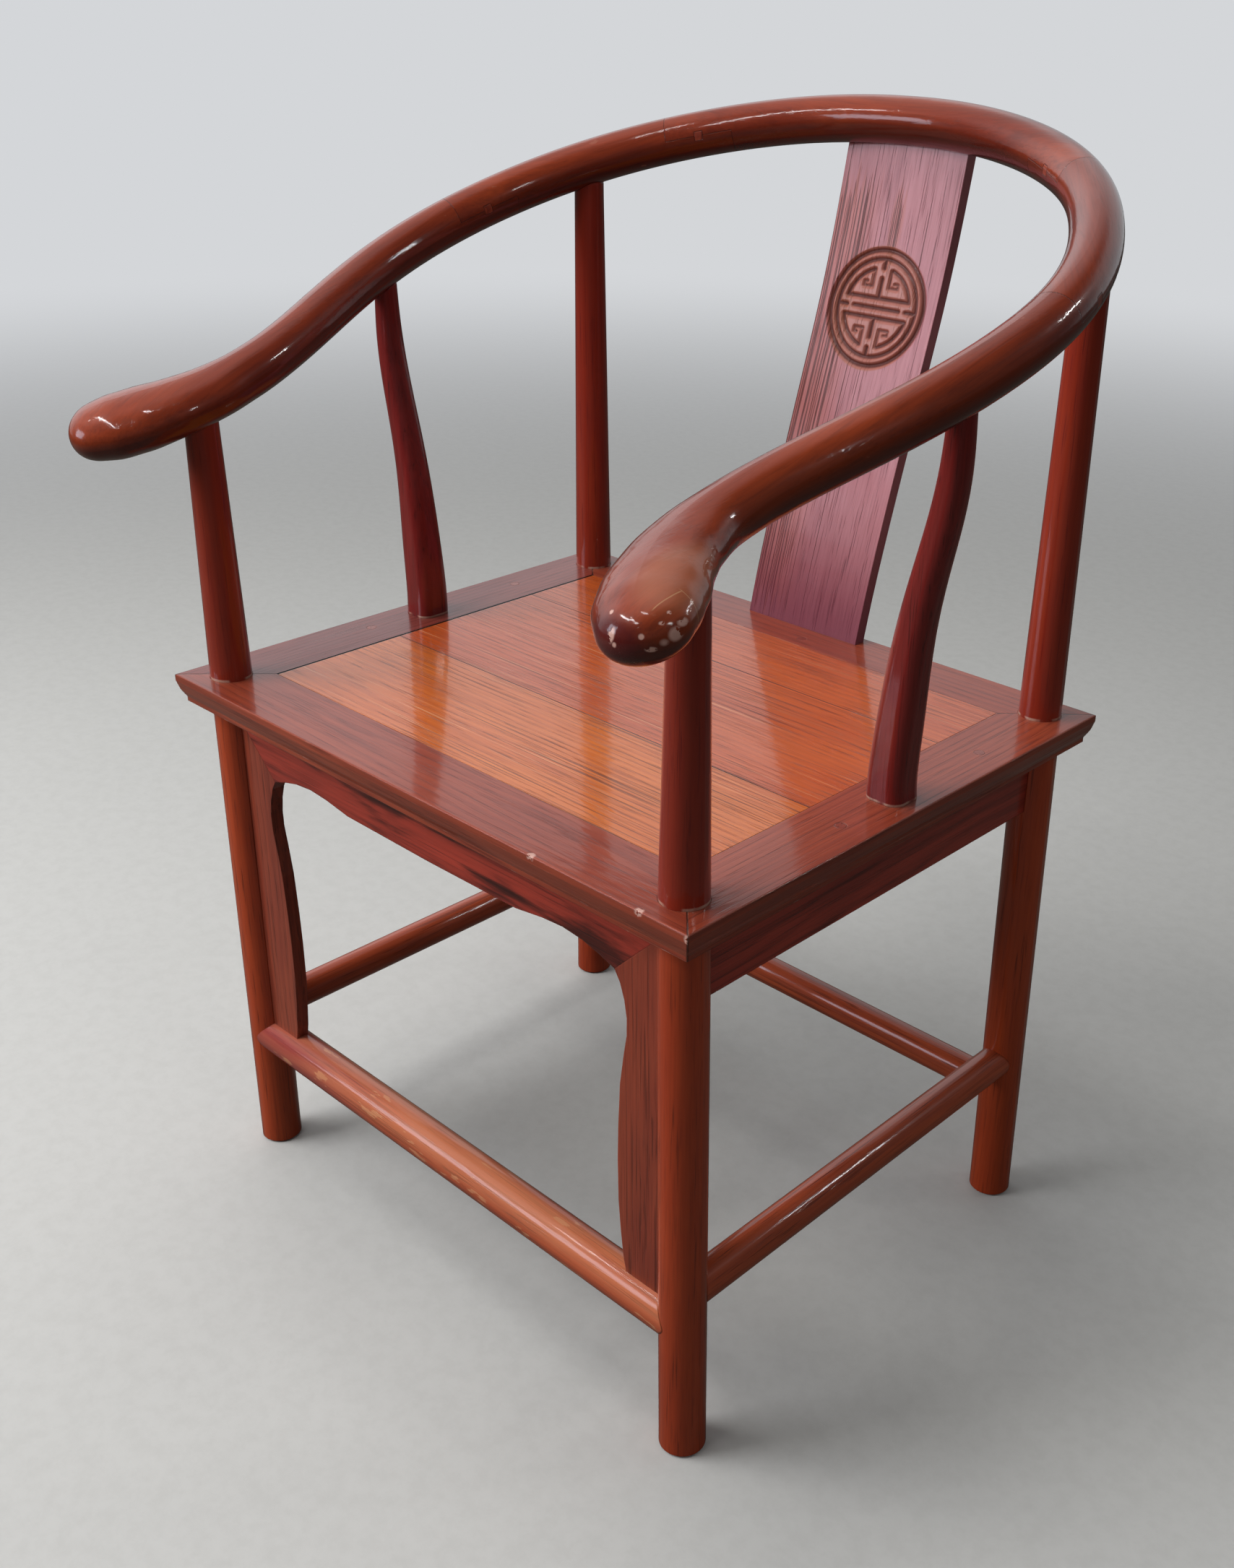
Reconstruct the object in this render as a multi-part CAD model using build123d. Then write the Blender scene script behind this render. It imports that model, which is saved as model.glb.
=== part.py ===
"""Horseshoe-back armchair: every wooden piece as its own solid, in millimetres, +Z up, front towards -Y."""
import math
import os
from build123d import *

# ---- fits
FIT = 0.15                  # clearance on each cheek of a seated joint

# ---- seat frame
SEAT_HEIGHT = 500.0         # floor to the top of the frame
SEAT_WIDTH = 616.0
SEAT_DEPTH = 500.0
FRONT_RAIL = 63.0           # widths of the frame members
SIDE_RAIL = 61.0
BACK_RAIL = 57.0
RAIL_THICKNESS = 25.0
EDGE_BAND = 6.0             # upright band above the hollow of the moulded edge
EDGE_SETBACK = 6.0          # how far the foot of the moulding stands back
EDGE_FOOT = 4.0             # small upright fillet at the foot of the moulding
EDGE_HOLLOW = 0.35          # depth of the hollow half way down, as a share of the setback
EDGE_HOLLOW_TOP = (-0.4, -1.0)      # slope of the hollow at its top and its foot
EDGE_HOLLOW_FOOT = (-0.5, -1.0)
EDGE_ARRIS = 1.2            # rounding of the top edge
FRAME_TENON = 7.0           # thickness of the corner tenons
FRAME_TENON_WIDTH = 30.0
FRAME_TENON_EDGE = 10.0     # frame edge to tenon
FRAME_TENON_STOP = 9.0      # wood left beyond the end of the tenon

# ---- seat boards
BOARD_THICKNESS = 12.0
BOARD_WIDTHS = (133.0, 162.0)   # front and middle boards; the rear one takes the rest
BOARD_TONGUE = 5.0          # tongue thickness, all round the panel
BOARD_TONGUE_REACH = 7.0
BOARD_TONGUE_DROP = 4.0     # board face to the top of the tongue
BOARD_JOINT_TONGUE = 3.0    # tongue between two boards
PANEL_GAP = 0.3             # seasonal gap between the panel and the frame
PANEL_GAP_LEFT = 1.4        # the boards have shrunk away from the left-hand member
BATTEN_WIDTH = 34.0
BATTEN_DEPTH = 13.0         # depth of the batten below the boards
BATTEN_SPACING = 250.0
BATTEN_KEY = 4.0            # dovetailed rib let into the boards
BATTEN_KEY_WIDTH = 18.0
BATTEN_KEY_FLARE = 4.0
BATTEN_TENON = 14.0
BATTEN_TENON_WIDTH = 22.0
BATTEN_SHOULDER = 4.0       # above and below the tenon

# ---- legs that carry on upwards as posts
LEG_FOOT_DIAMETER = 38.0
LEG_TOP_DIAMETER = 37.2
POST_DIAMETER = 36.0        # at the seat
POST_TOP_DIAMETER = 27.0    # under the crest rail
POST_SIDE_INSET = 35.5      # frame edge to post axis
POST_FRONT_INSET = 34.0
POST_BACK_INSET = 31.5
LEG_SPLAY = 7.0             # outward lean of each foot
POST_TENON_DIAMETER = 16.0
POST_TENON_REACH = 6.0      # how far the tenon passes the crest axis
FOOT_ROUNDING = 2.0
LEG_OVERRUN = 0.02          # share of the leg turned past each end before it is cut level

# ---- side posts: height above the seat, outward offset from the base, section width
SIDE_POST_BASE_INSET = 29.5
SIDE_POST_Y = 4.5
SIDE_POST_SHAPE = ((0.0, 0.0, 33.0), (60.0, 2.3, 31.5), (115.0, 7.2, 28.5), (165.0, 14.8, 25.8),
                   (220.0, 26.5, 24.0), (270.0, 32.5, 21.5), (325.0, 34.5, 19.5))
SIDE_POST_CORNER_SHARE = 0.30       # corner rounding as a share of the width, at the seat
SIDE_POST_TOP_CORNER_SHARE = 0.49   # and at the top
SIDE_POST_TENON = 18.0
SIDE_POST_TENON_WIDTH = 20.0
SIDE_POST_PIN = 11.0
SIDE_POST_PIN_LENGTH = 28.0

# ---- crest rail
CREST_DIAMETER = 40.0
# stations of the axis: past the frame edge, past the back / middle / front line, above the seat
CREST_CENTRE = (97.0, 441.0)
CREST_BEND = ((-198.0, 83.0, 435.0), (-105.0, 38.0, 418.0), (-35.0, -36.0, 392.0))
CREST_ARM = ((6.0, 127.0, 360.0), (12.0, 35.0, 328.0), (-10.0, -60.0, 294.5))
CREST_GRIP = ((-43.0, 72.5, 254.0), (-33.5, 12.5, 235.5), (-12.0, -26.0, 223.5), (11.5, -55.0, 214.0))
# hand grip: distance back from the nose, half width, half height
GRIP_SWELL = ((0.0, 28.0, 20.0), (21.0, 30.0, 20.5), (34.0, 34.0, 22.5), (60.0, 35.0, 22.8), (86.0, 31.6, 21.6),
              (115.0, 27.5, 20.4), (146.0, 21.4, 20.3), (185.0, 20.0, 20.0))
SWELL_EASE = 0.4            # softening of the table where it turns a corner
GRIP_SECTION_STEP = 11.5    # spacing of the sections along the grip
GRIP_NOSE = 25.0            # length of the rounded nose
NOSE_FULLNESS = 2.1         # power of its rounding: 2 is round, less is more pointed
GRIP_ROLL = 19.0            # degrees the grip is turned over, inner edge down
NOSE_SECTIONS = 5
GRIP_SQUARE = 30.0          # nearer the nose than this the sections hardly turn with the axis
NOSE_TIP = 0.003            # last section, as a share of the nose
CREST_SECTION_STEP = 70.0
COPE_REACH = 23.0           # half length of the coped seat on a post
COPE_STEPS = 6
AXIS_SEARCH = 600           # steps used to find a place along the axis
SCARF_SHARES = (0.232, 0.48)        # joints along the half rail, from the middle of the back
SCARF_LAP = 62.0
SCARF_PIN = 8.0
SCARF_PIN_TAPER = 1.0

# ---- splat: height above the seat, face past the back edge of the frame
SPLAT_WIDTH = 130.5
SPLAT_THICKNESS = 12.0
SPLAT_FACE = ((-12.0, -21.5), (0.0, -19.0), (100.0, 7.5), (200.0, 38.5), (300.0, 69.5), (400.0, 93.0),
              (432.0, 99.5))
SPLAT_TONGUE = 12.0         # depth of the splat in the back rail
SPLAT_TOP = 430.0           # top of the splat inside the crest rail, above the seat

# ---- aprons and front spandrels
APRON_THICKNESS = 12.0
FRONT_APRON_FACE = 6.0      # face ahead of the leg axis
APRON_HOUSING = 6.0         # how far each end is let into the round leg
# lower edge and mitre: inwards from the leg axis, below the seat top
FRONT_APRON_DEPTH = 76.5    # at the middle
FRONT_APRON_SHAPE = ((167.5, 75.5), (137.5, 71.0), (115.5, 69.5), (94.5, 71.5), (76.5, 76.0))
SIDE_APRON_DEPTH = 85.0     # seat top to the lower edge
MITRE_FOOT = (61.5, 81.0)   # lower end of the apron mitre
# inner edge of the spandrel: inwards from the leg axis, below the seat top
SPANDREL_EDGE = ((55.9, 90.0), (51.6, 103.0), (49.1, 118.0), (49.3, 133.0), (52.3, 150.0), (56.4, 178.6),
                 (58.5, 219.0), (59.2, 250.0), (58.6, 289.0), (56.4, 316.0), (53.4, 343.0), (50.7, 356.0))
SPANDREL_TOE = 1.0          # the edge runs on this far outwards, down to the stretcher

# ---- stretchers
FRONT_STRETCHER_DIAMETER = 37.0
STRETCHER_DIAMETER = 30.0
SIDE_STRETCHER_HEIGHT = 151.5
FRONT_STRETCHER_DROP = 25.5         # below the side stretchers
BACK_STRETCHER_DROP = 36.5
STRETCHER_TENON = 16.0
STRETCHER_TENON_DEPTH = 8.0

# ---- pegs let into the top of the frame
PEG_DIAMETER = 9.0
PEG_LENGTH = 22.0
SIDE_PEG_INSET = 27.0       # frame edge to the side pegs
SIDE_PEGS = (-60.0, 117.0)
BACK_PEG_INSET = 42.0       # frame edge to the back peg
BACK_PEG = 20.0

HALF_WIDTH = SEAT_WIDTH / 2
HALF_DEPTH = SEAT_DEPTH / 2
RAIL_UNDERSIDE = SEAT_HEIGHT - RAIL_THICKNESS
POST_X = HALF_WIDTH - POST_SIDE_INSET
FRONT_POST_Y = -HALF_DEPTH + POST_FRONT_INSET
BACK_POST_Y = HALF_DEPTH - POST_BACK_INSET
FRONT_STRETCHER_HEIGHT = SIDE_STRETCHER_HEIGHT - FRONT_STRETCHER_DROP
BACK_STRETCHER_HEIGHT = SIDE_STRETCHER_HEIGHT - BACK_STRETCHER_DROP


def mirrored(shape):
    return mirror(shape, about=Plane.YZ)


def box(x0, x1, y0, y1, z0, z1):
    return Pos((x0 + x1) / 2, (y0 + y1) / 2, (z0 + z1) / 2) * Box(x1 - x0, y1 - y0, z1 - z0)


def rod(start, end, diameter, end_diameter=None):
    """Round bar between two points, tapered when a second diameter is given."""
    start, end = Vector(*start), Vector(*end)
    length = (end - start).length
    stand = (Align.CENTER, Align.CENTER, Align.MIN)
    if end_diameter is None:
        bar = Cylinder(diameter / 2, length, align=stand)
    else:
        bar = Cone(diameter / 2, end_diameter / 2, length, align=stand)
    return Plane(origin=start, z_dir=end - start).location * bar


# ---------------------------------------------------------------- crest rail
def crest_axis():
    """Axis of the right half, from the middle of the back to the nose of the hand grip."""
    points = [(0, HALF_DEPTH + CREST_CENTRE[0], SEAT_HEIGHT + CREST_CENTRE[1])]
    for group, line in ((CREST_BEND, HALF_DEPTH), (CREST_ARM, 0), (CREST_GRIP, -HALF_DEPTH)):
        for out, y, height in group:
            points.append((HALF_WIDTH + out, line + y, SEAT_HEIGHT + height))
    straight = Vector(*points[-1]) - Vector(*points[-2])
    return Spline(points, tangents=[(1, 0, 0), straight.normalized()])


def swell(distance):
    """Half width and half height of the rail at a distance back from the nose."""
    table = GRIP_SWELL
    if distance >= table[-1][0]:
        return CREST_DIAMETER / 2, CREST_DIAMETER / 2
    for low, high in zip(table, table[1:]):
        if distance <= high[0]:
            share = (distance - low[0]) / (high[0] - low[0])
            share = share * share * (3 - 2 * share) * SWELL_EASE + share * (1 - SWELL_EASE)
            wide = low[1] + share * (high[1] - low[1])
            tall = low[2] + share * (high[2] - low[2])
            break
    if distance < GRIP_NOSE:
        closing = (1 - (1 - distance / GRIP_NOSE) ** NOSE_FULLNESS) ** (1 / NOSE_FULLNESS)
        wide, tall = wide * closing, tall * closing
    return wide, tall


def crest_section(axis, distance_from_nose, extra=0.0):
    share = 1 - distance_from_nose / axis.length
    facing = 1 - math.hypot(distance_from_nose, GRIP_SQUARE) / axis.length
    tangent = axis.tangent_at(max(0.0, facing))
    across = tangent.cross(Vector(0, 0, 1)).normalized()
    turned = GRIP_ROLL * max(0.0, 1 - distance_from_nose / GRIP_SWELL[-1][0])
    wide, tall = swell(distance_from_nose)
    plane = Plane(origin=axis.position_at(share), x_dir=across.cross(tangent), z_dir=tangent)
    return plane * Rot(0, 0, turned) * Ellipse(tall + extra, wide + extra)


def crest_half(axis):
    """Solid right half of the crest rail with its swelling, out-turned hand grip."""
    grip = GRIP_SWELL[-1][0]
    plain = axis.length - grip
    count = math.ceil(plain / CREST_SECTION_STEP)
    back = [axis.length - plain * k / count for k in range(count)]
    swelling_count = math.ceil((grip - GRIP_NOSE) / GRIP_SECTION_STEP)
    swelling = [grip + (GRIP_NOSE - grip) * k / swelling_count for k in range(swelling_count + 1)]
    steps = NOSE_SECTIONS
    nose = [GRIP_NOSE * (1 - math.sin(math.pi / 2 * k / steps)) for k in range(1, steps)]
    stops = back + swelling + nose + [GRIP_NOSE * NOSE_TIP]
    return loft([crest_section(axis, d) for d in stops])


def axis_at(axis, x, y):
    """Point of the crest axis nearest to a place in plan."""
    places = (axis.position_at(k / AXIS_SEARCH) for k in range(AXIS_SEARCH + 1))
    return min(places, key=lambda p: (p.X - x) ** 2 + (p.Y - y) ** 2)


def cope(axis, point):
    """Short stretch of the rail round one point, with the fit all round: the seat of a post's shoulder."""
    shares = [k / AXIS_SEARCH for k in range(AXIS_SEARCH + 1)]
    nearest = min(shares, key=lambda share: (axis.position_at(share) - point).length)
    middle = axis.length * (1 - nearest)
    stops = [middle + COPE_REACH * (1 - 2 * k / COPE_STEPS) for k in range(COPE_STEPS + 1)]
    return loft([crest_section(axis, distance, FIT) for distance in stops])


def scarf_frame(axis, share):
    """Plane of a scarf joint: x along the rail, z upwards."""
    tangent = axis.tangent_at(share)
    across = tangent.cross(Vector(0, 0, 1)).normalized()
    return Plane(origin=axis.position_at(share), x_dir=tangent, z_dir=across.cross(tangent))


def beyond_scarf(frame):
    """Everything past a half-lap: the lower tongue belongs to the far piece."""
    reach = SEAT_WIDTH
    far = Pos(SCARF_LAP / 2 + reach / 2, 0, 0) * Box(reach, 2 * reach, reach)
    lap = Pos(reach / 2 - SCARF_LAP / 2, 0, -reach / 4) * Box(reach, 2 * reach, reach / 2)
    return frame.location * (far + lap)


def scarf_pin(frame, slack=0.0):
    """Square wedge driven across the lap, half in each piece."""
    wide = Plane(origin=(0, CREST_DIAMETER, 0), z_dir=(0, -1, 0), x_dir=(1, 0, 0))
    narrow = Plane(origin=(0, -CREST_DIAMETER, 0), z_dir=(0, -1, 0), x_dir=(1, 0, 0))
    big = SCARF_PIN + SCARF_PIN_TAPER + 2 * slack
    small = SCARF_PIN - SCARF_PIN_TAPER + 2 * slack
    return frame.location * loft([wide * Rectangle(big, big), narrow * Rectangle(small, small)], ruled=True)


def crest_pieces(axis, rail):
    """Back, shoulder and arm of the right half, before the mortises, and the two scarf pins."""
    frames = [scarf_frame(axis, share) for share in SCARF_SHARES]
    past_first, past_second = (beyond_scarf(frame) for frame in frames)
    holes = [scarf_pin(frame, FIT) for frame in frames]
    back = rail - past_first - holes[0]
    shoulder = (rail & past_first) - past_second - holes[0] - holes[1]
    arm = (rail & past_second) - holes[1]
    pins = [scarf_pin(frame) & rail for frame in frames]
    return back, shoulder, arm, pins


# ---------------------------------------------------------------- legs and posts
def leg(axis, y):
    """One leg: splayed below the seat, upright and tapering above it, coped under the crest rail."""
    top = axis_at(axis, POST_X, y)
    foot = (POST_X + LEG_SPLAY, y, 0)
    seat = (POST_X, y, RAIL_UNDERSIDE)
    past = (Vector(*seat) - Vector(*foot)) * LEG_OVERRUN
    lower = rod(tuple(Vector(*foot) - past), tuple(Vector(*seat) + past), LEG_FOOT_DIAMETER, LEG_TOP_DIAMETER)
    lower &= box(0, SEAT_WIDTH, -SEAT_DEPTH, SEAT_DEPTH, 0, RAIL_UNDERSIDE)
    lower = chamfer(lower.edges().sort_by(Axis.Z)[0], FOOT_ROUNDING)
    through = rod(seat, (POST_X, y, SEAT_HEIGHT), POST_DIAMETER)
    upper = rod((POST_X, y, SEAT_HEIGHT), (POST_X, y, top.Z), POST_DIAMETER, POST_TOP_DIAMETER)
    tenon = rod((POST_X, y, top.Z - CREST_DIAMETER), (POST_X, y, top.Z + POST_TENON_REACH), POST_TENON_DIAMETER)
    return lower + through + (upper - cope(axis, top)) + tenon


def post_mortise(axis, y):
    top = axis_at(axis, POST_X, y)
    return rod((POST_X, y, top.Z - CREST_DIAMETER), (POST_X, y, top.Z + POST_TENON_REACH + FIT),
               POST_TENON_DIAMETER + 2 * FIT)


def post_hole(y):
    return Pos(POST_X, y, SEAT_HEIGHT) * Cylinder(POST_DIAMETER / 2 + FIT, 3 * RAIL_THICKNESS)


def side_post(axis):
    """S-curved side post: rounded square at the seat, slender and round under the crest rail."""
    base_x = HALF_WIDTH - SIDE_POST_BASE_INSET
    sections = []
    for height, out, width in SIDE_POST_SHAPE:
        share = height / SIDE_POST_SHAPE[-1][0]
        corner = width * (SIDE_POST_CORNER_SHARE * (1 - share) + SIDE_POST_TOP_CORNER_SHARE * share)
        sections.append(Pos(base_x + out, SIDE_POST_Y, SEAT_HEIGHT + height) * RectangleRounded(width, width, corner))
    head = axis_at(axis, base_x + SIDE_POST_SHAPE[-1][1], SIDE_POST_Y)
    shaft = (loft(sections) - cope(axis, head)).solids().sort_by(Axis.Z)[0]
    foot = Pos(base_x, SIDE_POST_Y, SEAT_HEIGHT - SIDE_POST_TENON / 2) * Box(
        SIDE_POST_TENON_WIDTH, SIDE_POST_TENON_WIDTH, SIDE_POST_TENON)
    return shaft + foot + side_post_pin(axis)


def side_post_mortise():
    width = SIDE_POST_TENON_WIDTH + 2 * FIT
    depth = SIDE_POST_TENON + FIT
    return Pos(HALF_WIDTH - SIDE_POST_BASE_INSET, SIDE_POST_Y, SEAT_HEIGHT - depth / 2) * Box(width, width, depth)


def side_post_pin(axis, slack=0.0):
    """Round tenon at the head of the side post."""
    x = HALF_WIDTH - SIDE_POST_BASE_INSET + SIDE_POST_SHAPE[-1][1]
    top = axis_at(axis, x, SIDE_POST_Y)
    return rod((x, SIDE_POST_Y, top.Z - SIDE_POST_PIN_LENGTH), (x, SIDE_POST_Y, top.Z + slack),
               SIDE_POST_PIN + 2 * slack)


# ---------------------------------------------------------------- splat
def splat_board():
    """Curved back board: one S-shaped side profile drawn across its full width."""
    face = [Vector(0, HALF_DEPTH + y, SEAT_HEIGHT + height) for height, y in SPLAT_FACE]
    front = Spline([tuple(p) for p in face])
    rear = Spline([(p.X, p.Y + SPLAT_THICKNESS, p.Z) for p in face])
    foot = Line(front @ 0, rear @ 0)
    head = Line(front @ 1, rear @ 1)
    profile = make_face([front, head, rear, foot])
    return extrude(profile, amount=SPLAT_WIDTH / 2, both=True)


def splat():
    board = splat_board()
    reach = 2 * SEAT_DEPTH
    low, high = SEAT_HEIGHT - SPLAT_TONGUE, SEAT_HEIGHT + SPLAT_TOP
    return board & box(-SEAT_WIDTH, SEAT_WIDTH, -reach, reach, low, high)


def splat_housing():
    """The splat with its clearance, used to cut its grooves."""
    board = splat_board()
    reach = 2 * SEAT_DEPTH
    kept = board & box(-SEAT_WIDTH, SEAT_WIDTH, -reach, reach, SEAT_HEIGHT - SPLAT_TONGUE - FIT,
                       SEAT_HEIGHT + SPLAT_TOP + FIT)
    thicker = kept + Pos(0, -FIT, 0) * kept + Pos(0, FIT, 0) * kept
    return thicker + Pos(-FIT, 0, 0) * thicker + Pos(FIT, 0, 0) * thicker


# ---------------------------------------------------------------- seat frame
def rail_profile(width):
    """Section of a frame member, top outer edge at the origin: rounded arris, band, hollow and fillet."""
    foot = -RAIL_THICKNESS
    band_end = (0, -EDGE_BAND)
    hollow_end = (-EDGE_SETBACK, foot + EDGE_FOOT)
    hollow_middle = (-EDGE_SETBACK * EDGE_HOLLOW, (band_end[1] + hollow_end[1]) / 2)
    hollow = Spline([band_end, hollow_middle, hollow_end], tangents=[EDGE_HOLLOW_TOP, EDGE_HOLLOW_FOOT])
    under = Polyline(hollow_end, (-EDGE_SETBACK, foot), (-width, foot), (-width, 0), (-EDGE_ARRIS, 0))
    arris = RadiusArc((-EDGE_ARRIS, 0), (0, -EDGE_ARRIS), EDGE_ARRIS)
    band = Line((0, -EDGE_ARRIS), band_end)
    return make_face([hollow, under, arris, band])


def frame_rail(width, length, quarter):
    """Plain moulded length, then turned to its side of the seat (0 right, 1 back, 2 left, 3 front)."""
    section = Plane(origin=(0, 0, 0), x_dir=(1, 0, 0), z_dir=(0, -1, 0)) * rail_profile(width)
    bar = extrude(section, amount=length / 2, both=True)
    reach = HALF_WIDTH if quarter % 2 == 0 else HALF_DEPTH
    return Rot(0, 0, 90 * quarter) * (Pos(reach, 0, SEAT_HEIGHT) * bar)


def mitre_wedge(front_width, sign_y):
    """Region belonging to the front (or back) member: between the two mitre lines."""
    y_out = sign_y * HALF_DEPTH
    slope = SIDE_RAIL / front_width
    deep = front_width * 2
    outer = [(-HALF_WIDTH, y_out), (HALF_WIDTH, y_out),
             (HALF_WIDTH - slope * deep, y_out - sign_y * deep), (-HALF_WIDTH + slope * deep, y_out - sign_y * deep)]
    region = make_face(Polyline(outer, close=True))
    return Pos(0, 0, RAIL_UNDERSIDE) * extrude(region, amount=RAIL_THICKNESS)


def corner_tenons(sign_y, slack=0.0):
    """Corner tenons of a long member; the leg passes through each one and locks it."""
    middle = SEAT_HEIGHT - RAIL_THICKNESS / 2
    edge = HALF_DEPTH - FRAME_TENON_EDGE + slack
    inner = edge - FRAME_TENON_WIDTH - 2 * slack
    end = HALF_WIDTH - FRAME_TENON_STOP + slack
    low, high = sorted((sign_y * edge, sign_y * inner))
    return box(-end, end, low, high, middle - FRAME_TENON / 2 - slack, middle + FRAME_TENON / 2 + slack)


def panel_groove():
    """Groove round the inside of the frame for the tongue of the boards."""
    top = SEAT_HEIGHT - BOARD_TONGUE_DROP + FIT
    reach = BOARD_TONGUE_REACH + 2 * FIT
    return box(-HALF_WIDTH + SIDE_RAIL - reach, HALF_WIDTH - SIDE_RAIL + reach,
               -HALF_DEPTH + FRONT_RAIL - reach, HALF_DEPTH - BACK_RAIL + reach,
               top - BOARD_TONGUE - 2 * FIT, top)


def batten_positions():
    return [-BATTEN_SPACING / 2, BATTEN_SPACING / 2]


def batten(x, slack=0.0):
    """Cross batten under the boards with a dovetailed rib and a tenon at each end."""
    top = SEAT_HEIGHT - BOARD_THICKNESS
    front = -HALF_DEPTH + FRONT_RAIL
    back = HALF_DEPTH - BACK_RAIL
    low = top - BATTEN_DEPTH
    body = box(x - BATTEN_WIDTH / 2, x + BATTEN_WIDTH / 2, front, back, low, top)
    wide = BATTEN_KEY_WIDTH / 2 + slack
    narrow = wide - BATTEN_KEY_FLARE / 2
    rib = make_face(Plane.XZ * Polyline([(x - narrow, top), (x + narrow, top), (x + wide, top + BATTEN_KEY + slack),
                                         (x - wide, top + BATTEN_KEY + slack)], close=True))
    rib = Pos(0, (front + back) / 2, 0) * extrude(rib, amount=(back - front) / 2, both=True)
    half = BATTEN_TENON_WIDTH / 2 + slack
    tenon = box(x - half, x + half, front - BATTEN_TENON - slack, back + BATTEN_TENON + slack,
                low + BATTEN_SHOULDER - slack, top - BATTEN_SHOULDER + slack)
    return body + rib + tenon


def seat_boards():
    """Boards with a tongue all round, tongued to each other, housed over the battens."""
    front, back = -HALF_DEPTH + FRONT_RAIL, HALF_DEPTH - BACK_RAIL
    half = HALF_WIDTH - SIDE_RAIL
    lines = [front]
    for width in BOARD_WIDTHS:
        lines.append(lines[-1] + width)
    lines.append(back)
    tongue_top = SEAT_HEIGHT - BOARD_TONGUE_DROP
    last = len(lines) - 2
    boards = []
    for k, (start, end) in enumerate(zip(lines, lines[1:])):
        face_start = start + (PANEL_GAP if k == 0 else 0)
        face_end = end - (PANEL_GAP if k == last else 0)
        board = box(-half + PANEL_GAP_LEFT, half - PANEL_GAP, face_start, face_end,
                    SEAT_HEIGHT - BOARD_THICKNESS, SEAT_HEIGHT)
        tongue_start = start - (BOARD_TONGUE_REACH if k == 0 else 0)
        tongue_end = end + (BOARD_TONGUE_REACH if k == last else 0)
        board += box(-half - BOARD_TONGUE_REACH, half + BOARD_TONGUE_REACH, tongue_start, tongue_end,
                     tongue_top - BOARD_TONGUE, tongue_top)
        if k < last:
            board += board_joint(end, half, 0.0)
        if k > 0:
            board -= board_joint(start, half, FIT)
        for x in batten_positions():
            board -= batten(x, FIT)
        boards.append(board)
    return boards


def board_joint(y, half, slack):
    """Tongue of one board in the groove of the next."""
    middle = SEAT_HEIGHT - BOARD_TONGUE_DROP - BOARD_TONGUE / 2
    thick = BOARD_JOINT_TONGUE / 2 + slack
    ends = half - PANEL_GAP_LEFT
    return box(-ends - slack, ends + slack, y - BOARD_JOINT_TONGUE, y + BOARD_JOINT_TONGUE + slack,
               middle - thick, middle + thick)


def frame_members():
    """Four mitred frame members, pierced by the legs and morticed for everything that stands on them."""
    wide, deep = SEAT_WIDTH, SEAT_DEPTH
    bars = {"seat_rail_right": frame_rail(SIDE_RAIL, deep, 0), "seat_rail_back": frame_rail(BACK_RAIL, wide, 1),
            "seat_rail_left": frame_rail(SIDE_RAIL, deep, 2), "seat_rail_front": frame_rail(FRONT_RAIL, wide, 3)}
    front_region, back_region = mitre_wedge(FRONT_RAIL, -1), mitre_wedge(BACK_RAIL, 1)
    holes = [post_hole(FRONT_POST_Y), post_hole(BACK_POST_Y)]
    holes += [mirrored(hole) for hole in holes]
    cuts = holes + [panel_groove(), splat_housing()] + [batten(x, FIT) for x in batten_positions()]
    cuts += [side_post_mortise(), mirrored(side_post_mortise())] + pegs(FIT)
    members = {}
    for name, bar in bars.items():
        if name == "seat_rail_front":
            piece = (bar & front_region) + (corner_tenons(-1) & frame_limit(-1))
        elif name == "seat_rail_back":
            piece = (bar & back_region) + (corner_tenons(1) & frame_limit(1))
        else:
            piece = bar - front_region - back_region - corner_tenons(-1, FIT) - corner_tenons(1, FIT)
        for cut in cuts:
            piece -= cut
        members[name] = piece.solids().sort_by(lambda s: s.volume)[-1]
    return members


def frame_limit(sign_y):
    """Keeps the corner tenons to the width of the mitred member."""
    width = FRONT_RAIL if sign_y < 0 else BACK_RAIL
    low, high = sorted((sign_y * HALF_DEPTH, sign_y * (HALF_DEPTH - width)))
    return box(-HALF_WIDTH, HALF_WIDTH, low, high, RAIL_UNDERSIDE, SEAT_HEIGHT)


def pegs(slack=0.0):
    """Round pegs in the top of the frame."""
    places = [(side * (HALF_WIDTH - SIDE_PEG_INSET), y) for side in (-1, 1) for y in SIDE_PEGS]
    places.append((BACK_PEG, HALF_DEPTH - BACK_PEG_INSET))
    size = PEG_DIAMETER / 2 + slack
    down = (Align.CENTER, Align.CENTER, Align.MAX)
    return [Pos(x, y, SEAT_HEIGHT) * Cylinder(size, PEG_LENGTH + slack, align=down) for x, y in places]


# ---------------------------------------------------------------- aprons, spandrels, stretchers
def from_leg(point):
    """Turns (inwards from the leg axis, drop) into (out from the middle, drop)."""
    return POST_X - point[0], point[1]


def apron_mitre_top():
    """The mitre climbs at 45 degrees from its foot into the face of the leg."""
    foot = from_leg(MITRE_FOOT)
    end = POST_X - LEG_TOP_DIAMETER / 2 + APRON_HOUSING
    return end, foot[1] - (end - foot[0])


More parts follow.
